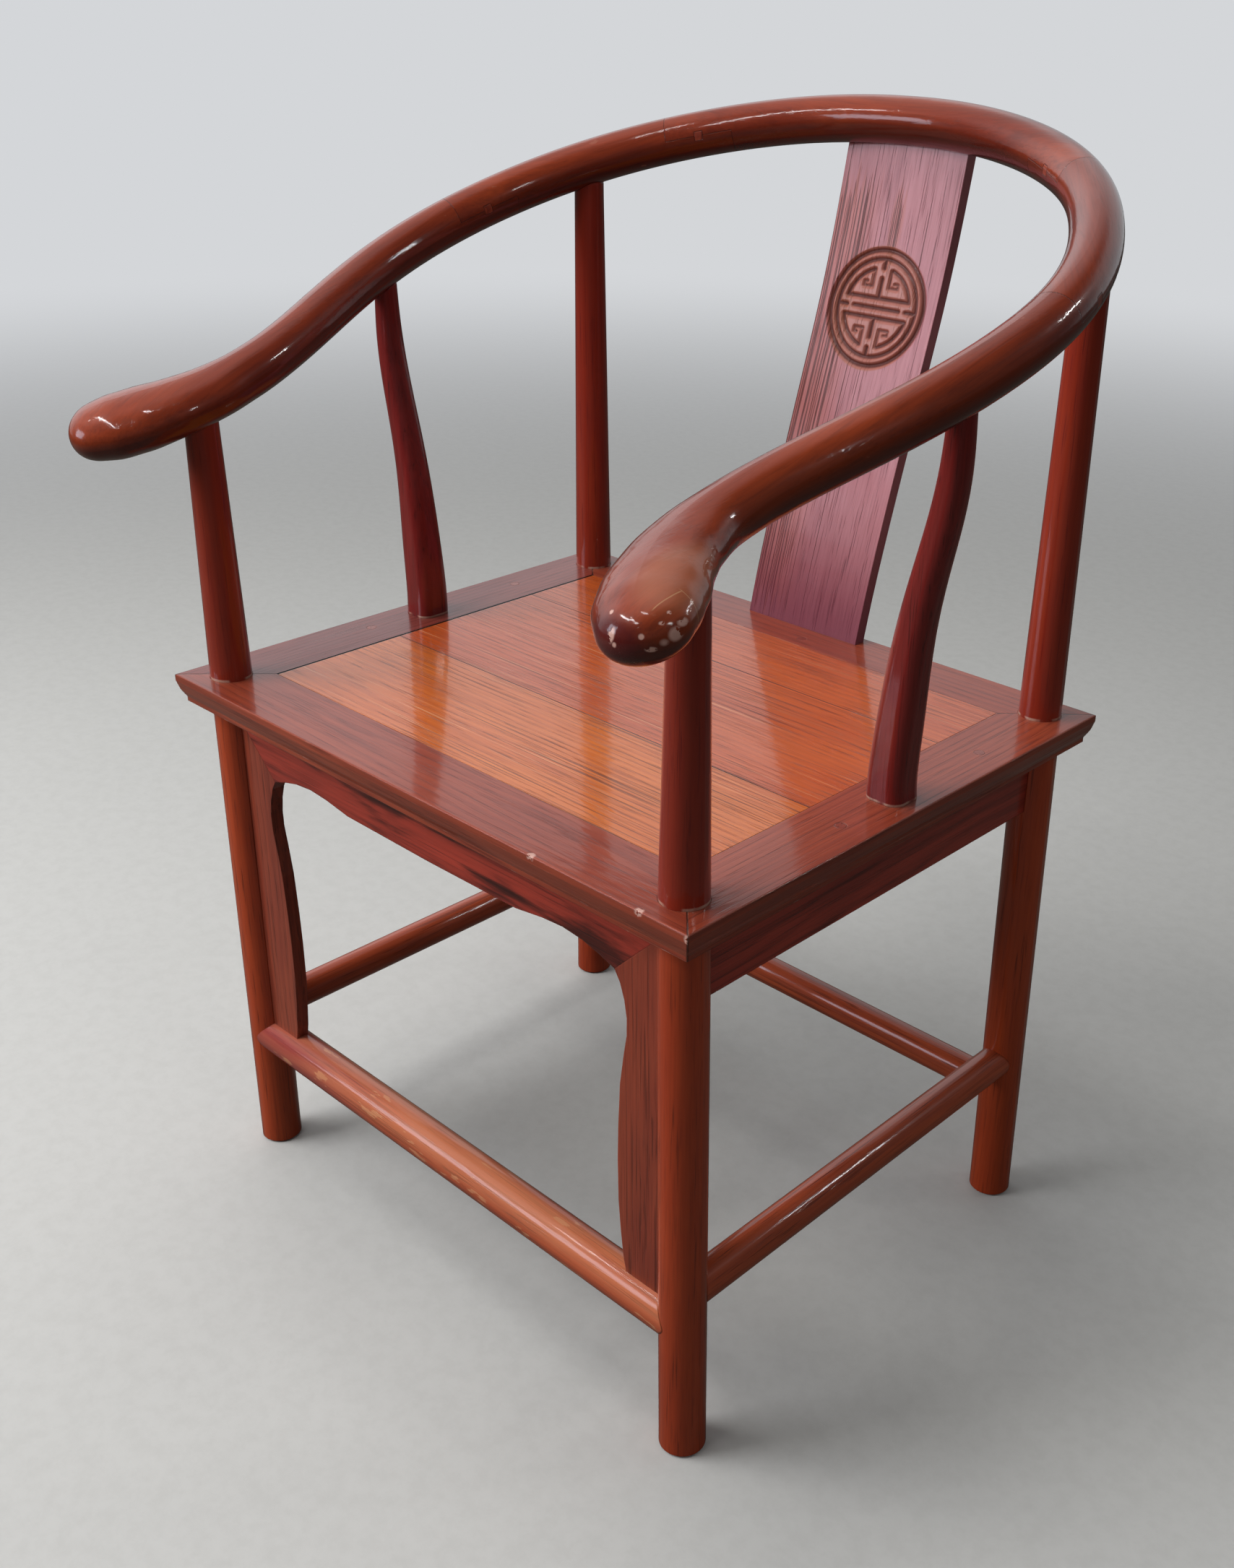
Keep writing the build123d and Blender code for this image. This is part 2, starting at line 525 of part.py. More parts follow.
def front_board(points, slack=0.0):
    """Board standing in the front plane, from an outline of (out from the middle, below the seat top)."""
    outline = make_face(Polyline([(x, SEAT_HEIGHT - drop) for x, drop in points], close=True))
    if slack:
        outline = offset(outline, slack, kind=Kind.INTERSECTION)
    face = FRONT_POST_Y - FRONT_APRON_FACE
    board = extrude(Plane.XZ * outline, amount=APRON_THICKNESS / 2 + slack, both=True)
    return Pos(0, face + APRON_THICKNESS / 2, 0) * board


def front_apron(slack=0.0):
    """Front apron with its cusped lower edge, mitred to the spandrels."""
    mitre = apron_mitre_top()
    lower = [from_leg(point) for point in FRONT_APRON_SHAPE + (MITRE_FOOT,)] + [mitre]
    outline = [(-x, drop) for x, drop in reversed(lower)] + [(0, FRONT_APRON_DEPTH)] + lower
    outline += [(mitre[0], RAIL_THICKNESS), (-mitre[0], RAIL_THICKNESS)]
    return front_board(outline, slack)


def spandrel(slack=0.0):
    """Upright panel along a front leg, from the apron mitre down to the stretcher."""
    mitre = apron_mitre_top()
    bottom = SEAT_HEIGHT - FRONT_STRETCHER_HEIGHT
    lean = LEG_SPLAY * (bottom - RAIL_THICKNESS) / (SEAT_HEIGHT - RAIL_THICKNESS)
    edge = [from_leg(point) for point in SPANDREL_EDGE]
    edge.append((edge[-1][0] + SPANDREL_TOE, bottom))
    outline = [from_leg(MITRE_FOOT), mitre, (mitre[0] + lean, bottom)] + edge[::-1]
    return front_board(outline, slack)


def side_apron(slack=0.0):
    front = FRONT_POST_Y + LEG_TOP_DIAMETER / 2 - APRON_HOUSING - slack
    back = BACK_POST_Y - LEG_TOP_DIAMETER / 2 + APRON_HOUSING + slack
    return box(POST_X - APRON_THICKNESS / 2 - slack, POST_X + APRON_THICKNESS / 2 + slack, front, back,
               SEAT_HEIGHT - SIDE_APRON_DEPTH - slack, RAIL_UNDERSIDE)


def back_apron(slack=0.0):
    end = POST_X - LEG_TOP_DIAMETER / 2 + APRON_HOUSING + slack
    return box(-end, end, BACK_POST_Y - APRON_THICKNESS / 2 - slack, BACK_POST_Y + APRON_THICKNESS / 2 + slack,
               SEAT_HEIGHT - SIDE_APRON_DEPTH - slack, RAIL_UNDERSIDE)


def leg_x(height):
    """How far out the axis of a right-hand leg stands at a height below the seat."""
    return POST_X + LEG_SPLAY * (1 - height / RAIL_UNDERSIDE)


def stretcher(start, end, diameter, legs):
    """Round stretcher coped to both legs, with a tenon in each."""
    bar = rod(start, end, diameter)
    for post in legs:
        bar -= post
    middle = (Vector(*start) + Vector(*end)) * 0.5
    bar = bar.solids().sort_by(lambda s: (s.center() - middle).length)[0]
    return bar + stretcher_tenon(start, end)


def stretcher_tenon(start, end, slack=0.0):
    start, end = Vector(*start), Vector(*end)
    along = (end - start).normalized()
    back = LEG_TOP_DIAMETER / 2 - STRETCHER_TENON_DEPTH - slack
    return rod(tuple(start + along * back), tuple(end - along * back), STRETCHER_TENON + 2 * slack)


def stretcher_lines():
    """Axes of the four stretchers, from leg axis to leg axis."""
    fore, aft = FRONT_POST_Y, BACK_POST_Y
    front_x = leg_x(FRONT_STRETCHER_HEIGHT)
    side_x = leg_x(SIDE_STRETCHER_HEIGHT)
    back_x = leg_x(BACK_STRETCHER_HEIGHT)
    return {
        "front": ((-front_x, fore, FRONT_STRETCHER_HEIGHT), (front_x, fore, FRONT_STRETCHER_HEIGHT)),
        "right": ((side_x, fore, SIDE_STRETCHER_HEIGHT), (side_x, aft, SIDE_STRETCHER_HEIGHT)),
        "left": ((-side_x, fore, SIDE_STRETCHER_HEIGHT), (-side_x, aft, SIDE_STRETCHER_HEIGHT)),
        "back": ((-back_x, aft, BACK_STRETCHER_HEIGHT), (back_x, aft, BACK_STRETCHER_HEIGHT)),
    }


# ---------------------------------------------------------------- the chair
def build():
    axis = crest_axis()
    rail = crest_half(axis)
    parts = {}
    back, shoulder, arm, pins = crest_pieces(axis, rail)
    mortises = [post_mortise(axis, FRONT_POST_Y), post_mortise(axis, BACK_POST_Y), side_post_pin(axis, FIT)]
    for hole in mortises + [splat_housing()]:
        back -= hole
        shoulder -= hole
        arm -= hole
    parts["crest_back"] = back + mirrored(back)
    parts["crest_shoulder_right"] = shoulder
    parts["crest_shoulder_left"] = mirrored(shoulder)
    parts["crest_arm_right"] = arm
    parts["crest_arm_left"] = mirrored(arm)
    parts["crest_pins"] = Compound([solid for pin in pins for solid in pin.solids() + mirrored(pin).solids()])
    parts["back_splat"] = splat()
    parts["side_post_right"] = side_post(axis)
    parts["side_post_left"] = mirrored(parts["side_post_right"])

    front_leg = leg(axis, FRONT_POST_Y)
    back_leg = leg(axis, BACK_POST_Y)
    lines = stretcher_lines()
    shafts = {"front_right": front_leg, "back_right": back_leg,
              "front_left": mirrored(front_leg), "back_left": mirrored(back_leg)}
    diameters = {"front": FRONT_STRETCHER_DIAMETER, "right": STRETCHER_DIAMETER,
                 "left": STRETCHER_DIAMETER, "back": STRETCHER_DIAMETER}
    bars = {}
    for name, (start, end) in lines.items():
        ends = [shafts[key] for key in shafts if name in key]
        bars[name] = stretcher(start, end, diameters[name], ends)
        parts["stretcher_" + name] = bars[name]

    loose = {name: stretcher_tenon(start, end, FIT) for name, (start, end) in lines.items()}
    for place, post in shafts.items():
        fore, side = place.split("_")
        post = post - loose[fore] - loose[side]
        apron_cut = side_apron(FIT)
        post -= apron_cut if side == "right" else mirrored(apron_cut)
        if fore == "front":
            post -= front_apron(FIT)
            panel = spandrel(FIT)
            post -= panel if side == "right" else mirrored(panel)
        else:
            post -= back_apron(FIT)
        parts["leg_" + place] = post.solids().sort_by(lambda s: s.volume)[-1]

    parts["apron_front"] = front_apron()
    parts["apron_right"] = side_apron()
    parts["apron_left"] = mirrored(side_apron())
    parts["apron_back"] = back_apron()
    panel = spandrel() - bars["front"]
    panel = panel.solids().sort_by(Axis.Z)[-1]
    parts["spandrel_right"] = panel
    parts["spandrel_left"] = mirrored(panel)

    parts.update(frame_members())
    for number, board in enumerate(seat_boards(), start=1):
        parts["seat_board_%d" % number] = board
    for side, x in zip(("left", "right"), batten_positions()):
        parts["batten_" + side] = batten(x)
    parts["seat_pegs"] = Compound([solid for peg in pegs() for solid in peg.solids()])
    return parts


def main():
    parts = build()
    os.makedirs("parts", exist_ok=True)
    boxes = [shape.bounding_box() for shape in parts.values()]
    middle = (min(b.min.Y for b in boxes) + max(b.max.Y for b in boxes)) / 2
    for name, shape in parts.items():
        export_step(Pos(0, -middle, 0) * shape, "parts/" + name + ".step")


main()
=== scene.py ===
"""Looks of the horseshoe-back armchair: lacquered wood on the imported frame, and a carved splat.

Metres, +Z up, front towards -Y. Places on the chair are written from the middle of the seat, on the floor.
"""
import math
from collections import namedtuple

import bpy
import numpy as np
from mathutils import Matrix, Vector
from mathutils.bvhtree import BVHTree


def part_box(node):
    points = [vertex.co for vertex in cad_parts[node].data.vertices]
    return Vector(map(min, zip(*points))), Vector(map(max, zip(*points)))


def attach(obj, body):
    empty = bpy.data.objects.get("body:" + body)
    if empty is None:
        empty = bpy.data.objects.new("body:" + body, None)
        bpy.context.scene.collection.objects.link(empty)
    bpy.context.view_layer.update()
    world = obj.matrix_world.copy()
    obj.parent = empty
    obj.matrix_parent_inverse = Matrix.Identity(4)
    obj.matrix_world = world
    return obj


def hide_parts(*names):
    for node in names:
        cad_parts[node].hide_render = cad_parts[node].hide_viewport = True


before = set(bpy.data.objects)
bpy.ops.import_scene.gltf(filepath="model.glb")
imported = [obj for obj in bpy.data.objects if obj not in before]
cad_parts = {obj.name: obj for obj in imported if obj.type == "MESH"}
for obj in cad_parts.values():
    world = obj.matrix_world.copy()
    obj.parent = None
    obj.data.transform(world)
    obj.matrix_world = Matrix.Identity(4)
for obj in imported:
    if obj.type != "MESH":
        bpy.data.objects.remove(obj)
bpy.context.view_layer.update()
ROOT = "root"
MM = 0.001
CROSSWISE, LENGTHWISE, UPRIGHT = (1, 0, 0), (0, 1, 0), (0, 0, 1)      # directions of the grain

# the seat frame, as the CAD has it
SEAT_Y = (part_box("seat_rail_front")[0].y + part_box("seat_rail_back")[1].y) / 2
SEAT_TOP = 0.5
HALF_WIDTH, HALF_DEPTH = 0.308, 0.25
FRONT_RAIL, BACK_RAIL, SIDE_RAIL = 0.063, 0.057, 0.061      # how wide each is
LEFT_RAIL_EDGE = SIDE_RAIL - HALF_WIDTH                     # where the left rail meets the boards
BOARD_SEAMS = (-0.054, 0.108)                               # joints between the seat boards

# ---------------------------------------------------------------- camera
PICTURE_WIDTH, PICTURE_HEIGHT = 1708.0, 2171.0
VIEW_AZIMUTH = 0.746          # radians, to the chair's right of straight ahead
VIEW_ELEVATION = 0.465
VIEW_ROLL = 0.019
CAMERA_AT = Vector((0.91606, SEAT_Y - 0.90255, 1.05025))
FOCAL_PIXELS = 2253.4
AXIS_PIXEL = (963.8, 1098.9)  # where the view axis meets the picture
SENSOR = 36.0
NEAREST, FARTHEST = 0.05, 50


def heading(azimuth, elevation):
    """Direction out from the chair; azimuth 0 is straight ahead of it, positive to its right as seen from there."""
    flat = math.cos(elevation)
    return Vector((math.sin(azimuth) * flat, -math.cos(azimuth) * flat, math.sin(elevation)))


def link(thing):
    """Puts an object into the scene."""
    bpy.context.scene.collection.objects.link(thing)


def add_camera():
    """Camera at the picture's viewpoint, with its focal length and framing."""
    back = heading(VIEW_AZIMUTH, VIEW_ELEVATION)
    level = (-back).cross(Vector(UPRIGHT)).normalized()
    rise = level.cross(-back)
    right = math.cos(VIEW_ROLL) * level + math.sin(VIEW_ROLL) * rise
    up = -math.sin(VIEW_ROLL) * level + math.cos(VIEW_ROLL) * rise
    data = bpy.data.cameras.new("camera")
    data.sensor_width = SENSOR
    data.lens = FOCAL_PIXELS / PICTURE_HEIGHT * SENSOR
    data.shift_x = (PICTURE_WIDTH / 2 - AXIS_PIXEL[0]) / PICTURE_HEIGHT
    data.shift_y = (AXIS_PIXEL[1] - PICTURE_HEIGHT / 2) / PICTURE_HEIGHT
    data.clip_start, data.clip_end = NEAREST, FARTHEST
    camera = bpy.data.objects.new("camera", data)
    turn = Matrix((right, up, back)).transposed().to_4x4()
    camera.matrix_world = Matrix.Translation(CAMERA_AT) @ turn
    link(camera)
    bpy.context.scene.camera = camera


# ---------------------------------------------------------------- shader writing
# sockets of the colour Mix node that share their names with others
MIX_SHARE, MIX_FIRST, MIX_SECOND, MIX_RESULT = 0, 6, 7, 2


def colour(red, green, blue):
    """Linear colour from 0-255 display values, by the sRGB curve."""
    def linear(value):
        value /= 255
        return value / 12.92 if value <= 0.04045 else ((value + 0.055) / 1.055) ** 2.4
    return (linear(red), linear(green), linear(blue), 1.0)


class Shader:
    """Short calls that each make one node. A value is a number, a colour or another node's output."""

    def __init__(self, tree, surface=None):
        self.tree = tree
        self.surface = surface

    @classmethod
    def material(cls, name):
        """Shader of a new material; its point is the place on the chair."""
        made = bpy.data.materials.new(name)
        made.use_nodes = True
        shader = cls(made.node_tree, made.node_tree.nodes["Principled BSDF"])
        shader.made = made
        place = shader.node("ShaderNodeTexCoord").outputs["Object"]
        shader.point = shader.vector("SUBTRACT", place, (0.0, SEAT_Y, 0.0))
        return shader

    def node(self, kind, values=None, **settings):
        made = self.tree.nodes.new(kind)
        for name, value in settings.items():
            setattr(made, name, value)
        for socket, value in (values or {}).items():
            self.set(made.inputs[socket], value)
        return made

    def set(self, socket, value):
        if isinstance(value, bpy.types.NodeSocket):
            self.tree.links.new(value, socket)
        else:
            socket.default_value = value

    def math(self, operation, *values, clamp=False):
        made = self.node("ShaderNodeMath", dict(enumerate(values)), operation=operation, use_clamp=clamp)
        return made.outputs[0]

    def vector(self, operation, *values):
        made = self.node("ShaderNodeVectorMath", dict(enumerate(values)), operation=operation)
        return made.outputs["Value" if operation in ("LENGTH", "DOT_PRODUCT") else "Vector"]

    def split(self, vector):
        return self.node("ShaderNodeSeparateXYZ", {0: vector}).outputs[:]

    def join(self, x, y, z):
        return self.node("ShaderNodeCombineXYZ", {0: x, 1: y, 2: z}).outputs[0]

    def noise(self, vector, scale=1.0, detail=2.0, roughness=0.5):
        values = {"Vector": vector, "Scale": scale, "Detail": detail, "Roughness": roughness}
        return self.node("ShaderNodeTexNoise", values).outputs[0]

    def step(self, value, low, high):
        """0 below low, 1 above high, smooth between; falls instead when low is above high."""
        first, last = (0.0, 1.0) if low < high else (1.0, 0.0)
        values = {0: value, 1: min(low, high), 2: max(low, high), 3: first, 4: last}
        return self.node("ShaderNodeMapRange", values, interpolation_type="SMOOTHSTEP").outputs[0]

    def band(self, value, low, high, soft):
        """1 between low and high, fading to 0 over the soft width outside them."""
        return self.times(self.step(value, low - soft, low), self.step(value, high + soft, high))

    def mix(self, share, first, second):
        made = self.node("ShaderNodeMix", data_type="RGBA")
        self.set(made.inputs[MIX_SHARE], share)
        self.set(made.inputs[MIX_FIRST], first)
        self.set(made.inputs[MIX_SECOND], second)
        return made.outputs[MIX_RESULT]

    def total(self, *values):
        result = values[0]
        for value in values[1:]:
            result = self.math("ADD", result, value)
        return result

    def times(self, *values):
        result = values[0]
        for value in values[1:]:
            result = self.math("MULTIPLY", result, value)
        return result

    def less(self, value, taken):
        return self.math("SUBTRACT", value, taken)

    def near(self, place, reach):
        """1 at a place on the chair, falling to 0 at the reach: a length, or one for each axis."""
        reach = reach if isinstance(reach, tuple) else (reach,) * 3
        offset = self.vector("DIVIDE", self.vector("SUBTRACT", self.point, place), reach)
        return self.step(self.vector("LENGTH", offset), 1.0, 0.5)

    def from_line(self, first, last, value_x, value_y):
        """Distance in plan from the line through two places."""
        run, rise = last[0] - first[0], last[1] - first[1]
        length = math.hypot(run, rise)
        across = self.times(self.less(value_x, first[0]), rise / length)
        along = self.times(self.less(value_y, first[1]), run / length)
        return self.math("ABSOLUTE", self.less(across, along))

    def bump(self, height, distance, under):
        values = {"Height": height, "Distance": distance, "Strength": 1.0, "Normal": under}
        return self.node("ShaderNodeBump", values).outputs[0]


# ---------------------------------------------------------------- wood
# Patches of noise: how finely they vary along and across the grain, per metre, the levels of noise that they fade
# in between, and its detail and roughness.
Patches = namedtuple("Patches", "along across low high detail roughness", defaults=(3.0, 0.5))
SHORT_PORES = Patches(22.0, 850.0, 0.56, 0.68, detail=1.0)
LONG_PORES = Patches(4.5, 230.0, 0.57, 0.64, detail=2.0, roughness=0.6)
LONG_PORE_AREAS = Patches(2.5, 14.0, 0.34, 0.56, detail=2.0)
STAIN_CLOUDS = Patches(3.0, 12.0, 0.34, 0.66, detail=4.0, roughness=0.6)
STAIN_STREAKS = Patches(1.6, 60.0, 0.5, 0.72, detail=4.0, roughness=0.65)
FIBRES = Patches(14.0, 420.0, 0.35, 0.75, detail=2.0)
# noise that is used as it comes: how finely it varies along and across the grain, and its detail and roughness
Noise = namedtuple("Noise", "along across detail roughness", defaults=(2.0, 0.5))
RING_NOISE = Noise(2.2, 9.0, detail=3.0)
SMEAR_NOISE = Noise(5.0, 30.0, detail=3.0)
SKIN_NOISE = Noise(28.0, 130.0)
MIDDLE = 0.5                  # mean level of a noise

EARLY_STARTS, EARLY_FADES = (0.0, 0.15), (0.7, 0.2)      # early wood, as shares of one ring
RING_SWAY = 0.03              # how far the rings wander
LATE_PORES = 0.3              # pores in the late wood, for each in the early wood
FIBRE_SHARE = 0.2             # how dark the fibres and pores are
PORE_SHARE = 0.8
PORE_DULL = 0.2               # roughness that a pore adds
SMEAR_ROUGHNESS = 0.22        # how much the polish varies
PORES_IN_COAT = 0.5           # how far the lacquer sinks into them
ARRIS = 1.2 * MM              # rounding of the edges
LACQUER_SPECULAR = 0.15
NEARLY_UPRIGHT = 0.5          # sine of the grain's angle to the upright


class Wood:
    """Stained, lacquered, open-grained wood.

    grain: direction of the fibres. heart: the tree's heart, across and below the piece; with a tilt the board is
    cut at a slant to it, and the rings show as nested arches whose tips point away from the apex. pitch: width of
    a ring. figure, pores, lines, mottle and streaks: how strongly the rings, pores, long dark pores, clouds and
    streaks of the stain show. line_fineness: long pores for each metre across. On a flat board that leans, the
    figure doesn't change with the depth.
    """

    def __init__(self, name, tone, grain=CROSSWISE, heart=(0.35, -0.2), apex=0.0, tilt=0.0, pitch=0.006,
                 figure=0.25, pores=0.6, lines=0.4, line_fineness=LONG_PORES.across, mottle=0.6, streaks=0.4,
                 flat=False):
        self.shader = shader = Shader.material(name)
        along = Vector(grain).normalized()
        side = Vector(UPRIGHT).cross(along)
        stands = side.length < NEARLY_UPRIGHT
        side = Vector(CROSSWISE) if stands else side.normalized()
        above = along.cross(side)
        self.along, self.across, self.depth = (shader.vector("DOT_PRODUCT", shader.point, tuple(axis))
                                               for axis in (along, side, above))
        if flat:
            self.depth = 0.0
        self.x, self.y, self.z = shader.split(shader.point)
        self.tone = tone
        self.soft_normal = shader.node("ShaderNodeBevel", {"Radius": ARRIS}, samples=4).outputs[0]
        self.rings(pitch, heart, apex, tilt)
        self.cut_pores(pores, lines, line_fineness)
        self.stain(figure, mottle, streaks)

    def noise(self, kind):
        """Noise of the kind, stretched along the grain."""
        shader = self.shader
        place = shader.join(shader.times(self.along, kind.along), shader.times(self.across, kind.across),
                            shader.times(self.depth, kind.across))
        return shader.noise(place, detail=kind.detail, roughness=kind.roughness)

    def patches(self, kind):
        """1 in scattered patches of the kind, 0 between them."""
        return self.shader.step(self.noise(kind), kind.low, kind.high)

    def rings(self, pitch, heart, apex, tilt):
        """Growth rings; early wood is the darker, porous edge of each."""
        shader = self.shader
        sway = shader.times(shader.less(self.noise(RING_NOISE), MIDDLE), RING_SWAY)
        across = shader.less(self.across, heart[0])
        depth = shader.less(self.depth, heart[1])
        if tilt:
            depth = shader.total(depth, shader.times(shader.less(self.along, apex), tilt))
        radius = shader.total(shader.vector("LENGTH", shader.join(across, depth, 0.0)), sway)
        phase = shader.math("FRACT", shader.math("DIVIDE", radius, pitch))
        self.early = shader.times(shader.step(phase, *EARLY_STARTS), shader.step(phase, *EARLY_FADES))

    def cut_pores(self, pores, lines, line_fineness):
        """Fine pores, and longer dark lines where pores run together."""
        shader = self.shader
        dense = shader.total(LATE_PORES, shader.times(self.early, 1 - LATE_PORES))
        short = shader.times(self.patches(SHORT_PORES), dense, pores)
        long = self.patches(LONG_PORES._replace(across=line_fineness))
        long = shader.times(long, self.patches(LONG_PORE_AREAS), lines)
        self.pore = shader.math("MAXIMUM", short, long)
        self.height = shader.times(self.pore, -1.0)
        self.dull = shader.times(self.pore, PORE_DULL)

    def stain(self, figure, mottle, streaks):
        """Colour from the ring, broad cloudy stain, long darker streaks and dark pores."""
        shader = self.shader
        light, middle, dark, black = (colour(*row) for row in self.tone)
        self.paint = shader.mix(shader.times(self.patches(STAIN_CLOUDS), mottle), light, middle)
        self.cover(self.early, dark, share=figure)
        self.cover(self.patches(STAIN_STREAKS), dark, share=streaks)
        self.cover(self.patches(FIBRES), dark, share=FIBRE_SHARE)
        self.cover(self.pore, black, share=PORE_SHARE)

    def cover(self, mask, paint, share=1.0, dull=0.0, rise=0.0):
        """Lays a share of another colour over the wood where mask is 1: stain, or a worn, chipped or dirty place.

        dull: roughness that it adds. rise: its height, in units of the relief.
        """
        shader = self.shader
        if share != 1.0:
            mask = shader.times(mask, share)
        self.paint = shader.mix(mask, self.paint, paint)
        if dull:
            self.dull = shader.total(self.dull, shader.times(mask, dull))
        if rise:
            self.height = shader.total(self.height, shader.times(mask, rise))
        return self

    def sharp_edges(self, least, most):
        """1 on the sharp edges of a piece, which on the crest rail and the frame are its joints.

        least and most: how alike the true and the rounded surface are where an edge starts and is full.
        """
        shader = self.shader
        plain = shader.node("ShaderNodeNewGeometry").outputs["Normal"]
        return shader.step(shader.vector("DOT_PRODUCT", plain, self.soft_normal), least, most)

    def finish(self, roughness=0.32, coat=1.0, relief=0.3 * MM, coat_roughness=0.08, ripple=0.12 * MM):
        """Writes the wood to its material under a coat of lacquer; relief and ripple are heights of the two."""
        shader, surface = self.shader, self.shader.surface
        smear = shader.less(self.noise(SMEAR_NOISE), MIDDLE)
        rough = shader.total(roughness, shader.times(smear, SMEAR_ROUGHNESS))
        shader.set(surface.inputs["Roughness"], shader.math("ADD", rough, self.dull, clamp=True))
        shader.set(surface.inputs["Base Color"], self.paint)
        shader.set(surface.inputs["Normal"], shader.bump(self.height, relief, self.soft_normal))
        skin = shader.total(self.noise(SKIN_NOISE), shader.times(self.height, PORES_IN_COAT))
        shader.set(surface.inputs["Coat Normal"], shader.bump(skin, ripple, self.soft_normal))
        surface.inputs["Specular IOR Level"].default_value = LACQUER_SPECULAR
        surface.inputs["Coat Weight"].default_value = coat
        surface.inputs["Coat Roughness"].default_value = coat_roughness
        return shader.made


# the wood's light, middle, dark and pore colours, as display values
SEAT_FRONT_TONE = ((210, 112, 42), (190, 88, 28), (140, 54, 20), (62, 24, 13))
SEAT_BACK_TONE = ((200, 94, 38), (178, 72, 28), (126, 44, 22), (54, 20, 13))
RAIL_TONE = ((158, 72, 48), (134, 54, 38), (90, 32, 28), (40, 14, 12))
# the left rail: a darker, greyer copy of the rail tone, as painted shade
RAIL_LEFT_TONE_SHADED = ((136, 62, 50), (112, 46, 40), (76, 28, 28), (36, 14, 14))
POST_TONE = ((128, 38, 34), (106, 28, 29), (68, 17, 19), (34, 10, 10))
LEG_TONE = ((184, 74, 36), (160, 54, 28), (106, 30, 18), (44, 14, 10))
CREST_TONE = ((146, 58, 28), (108, 35, 22), (60, 18, 15), (28, 10, 9))
APRON_TONE = ((176, 62, 46), (146, 46, 36), (78, 24, 22), (28, 10, 9))
SPANDREL_TONE = ((160, 74, 50), (128, 50, 38), (76, 26, 22), (34, 13, 11))
STRETCHER_TONE = ((196, 92, 56), (168, 70, 44), (108, 38, 28), (50, 18, 13))
# the splat's red tone with a painted mauve sheen mixed in
SPLAT_TONE_AND_SHEEN = ((176, 112, 118), (158, 92, 96), (124, 60, 64), (64, 24, 24))
GRIME = colour(30, 12, 10)
CHIPPED = colour(206, 160, 146)


def dress(names, material):
    """Gives CAD nodes their material."""
    for name in names:
        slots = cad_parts[name].data.materials
        if not slots:
            slots.append(material)
        for k in range(len(slots)):
            slots[k] = material


# ---------------------------------------------------------------- seat
SEAT_ROUGHNESS = 0.28
GLINT_LINES = Patches(5.0, 520.0, 0.6, 0.66)          # painted glints: thin pale lines along the grain
GLINT_LINE_AREAS = Patches(3.0, 12.0, 0.4, 0.6)
PAINTED_GLINT_LINE = colour(232, 168, 120)
BOARD_GAP = (2.4 * MM, 1.8 * MM)                     # dark line by the left rail: where it starts and is full
SEAM_HALF = 0.3 * MM
RAIL_GAP = (-1.0 * MM, -0.5 * MM)                    # the same line on the left rail's own edge
RAIL_COAT = 0.8
MITRE_LINE = (0.9 * MM, 0.3 * MM)                    # half width, where it starts and is full
MITRE_BREAKS = Patches(30.0, 60.0, 0.3, 0.5)
RAIL_EDGE = (0.995, 0.93)                            # see Wood.sharp_edges
EDGE_WEAR_AND_HIGHLIGHT_PATCHES = Patches(18.0, 60.0, 0.36, 0.56)
EDGE_WEAR_AND_HIGHLIGHT = colour(190, 116, 94)
EDGE_NICKS = Patches(60.0, 140.0, 0.62, 0.66)
FRONT_CHIPS = ((0.1557, -0.249, 0.499), (0.2626, -0.249, 0.499), (0.308, -0.25, 0.497))
FRONT_CHIP_REACH = 4.5 * MM
RAGGED_CHIP = Patches(150, 300, 0.45, 0.5)


def board_wood(name, tone, **figure):
    """Seat board with its dark joint lines."""
    wood = Wood(name, tone, pores=0.7, lines=0.8, line_fineness=640.0, streaks=0.15, **figure)
    shader = wood.shader
    # painted glints: pale lines along the grain over the board
    wood.cover(shader.times(wood.patches(GLINT_LINES), wood.patches(GLINT_LINE_AREAS)), PAINTED_GLINT_LINE, share=0.45)
    wood.cover(shader.step(wood.x, *(LEFT_RAIL_EDGE + width for width in BOARD_GAP)), GRIME, dull=0.2)
    for seam in BOARD_SEAMS:
        line = shader.band(wood.y, seam - SEAM_HALF, seam + SEAM_HALF, SEAM_HALF)
        wood.cover(line, GRIME, dull=0.1, rise=-1.0)
    return wood


def rail_wood(name, tone, **figure):
    """Frame member with mitre lines, edges lighter from wear and a painted highlight, and a few chips."""
    wood = Wood(name, tone, pores=0.5, lines=0.35, line_fineness=480.0, streaks=0.25, **figure)
    shader = wood.shader
    across = shader.math("ABSOLUTE", wood.x)
    corners = (((HALF_WIDTH, -HALF_DEPTH), (HALF_WIDTH - SIDE_RAIL, -HALF_DEPTH + FRONT_RAIL)),
               ((HALF_WIDTH, HALF_DEPTH), (HALF_WIDTH - SIDE_RAIL, HALF_DEPTH - BACK_RAIL)))
    for outer, inner in corners:
        mitre = shader.step(shader.from_line(outer, inner, across, wood.y), *MITRE_LINE)
        wood.cover(shader.times(mitre, wood.patches(MITRE_BREAKS)), GRIME, dull=0.2, rise=-1.0)
    edge = wood.sharp_edges(*RAIL_EDGE)
    # edges lighter: partly wear, partly a painted highlight along the arrises
    wood.cover(shader.times(edge, wood.patches(EDGE_WEAR_AND_HIGHLIGHT_PATCHES)), EDGE_WEAR_AND_HIGHLIGHT, share=0.7, dull=0.1)
    wood.cover(shader.times(edge, wood.patches(EDGE_NICKS)), CHIPPED, dull=0.3, rise=-1.0)
    return wood


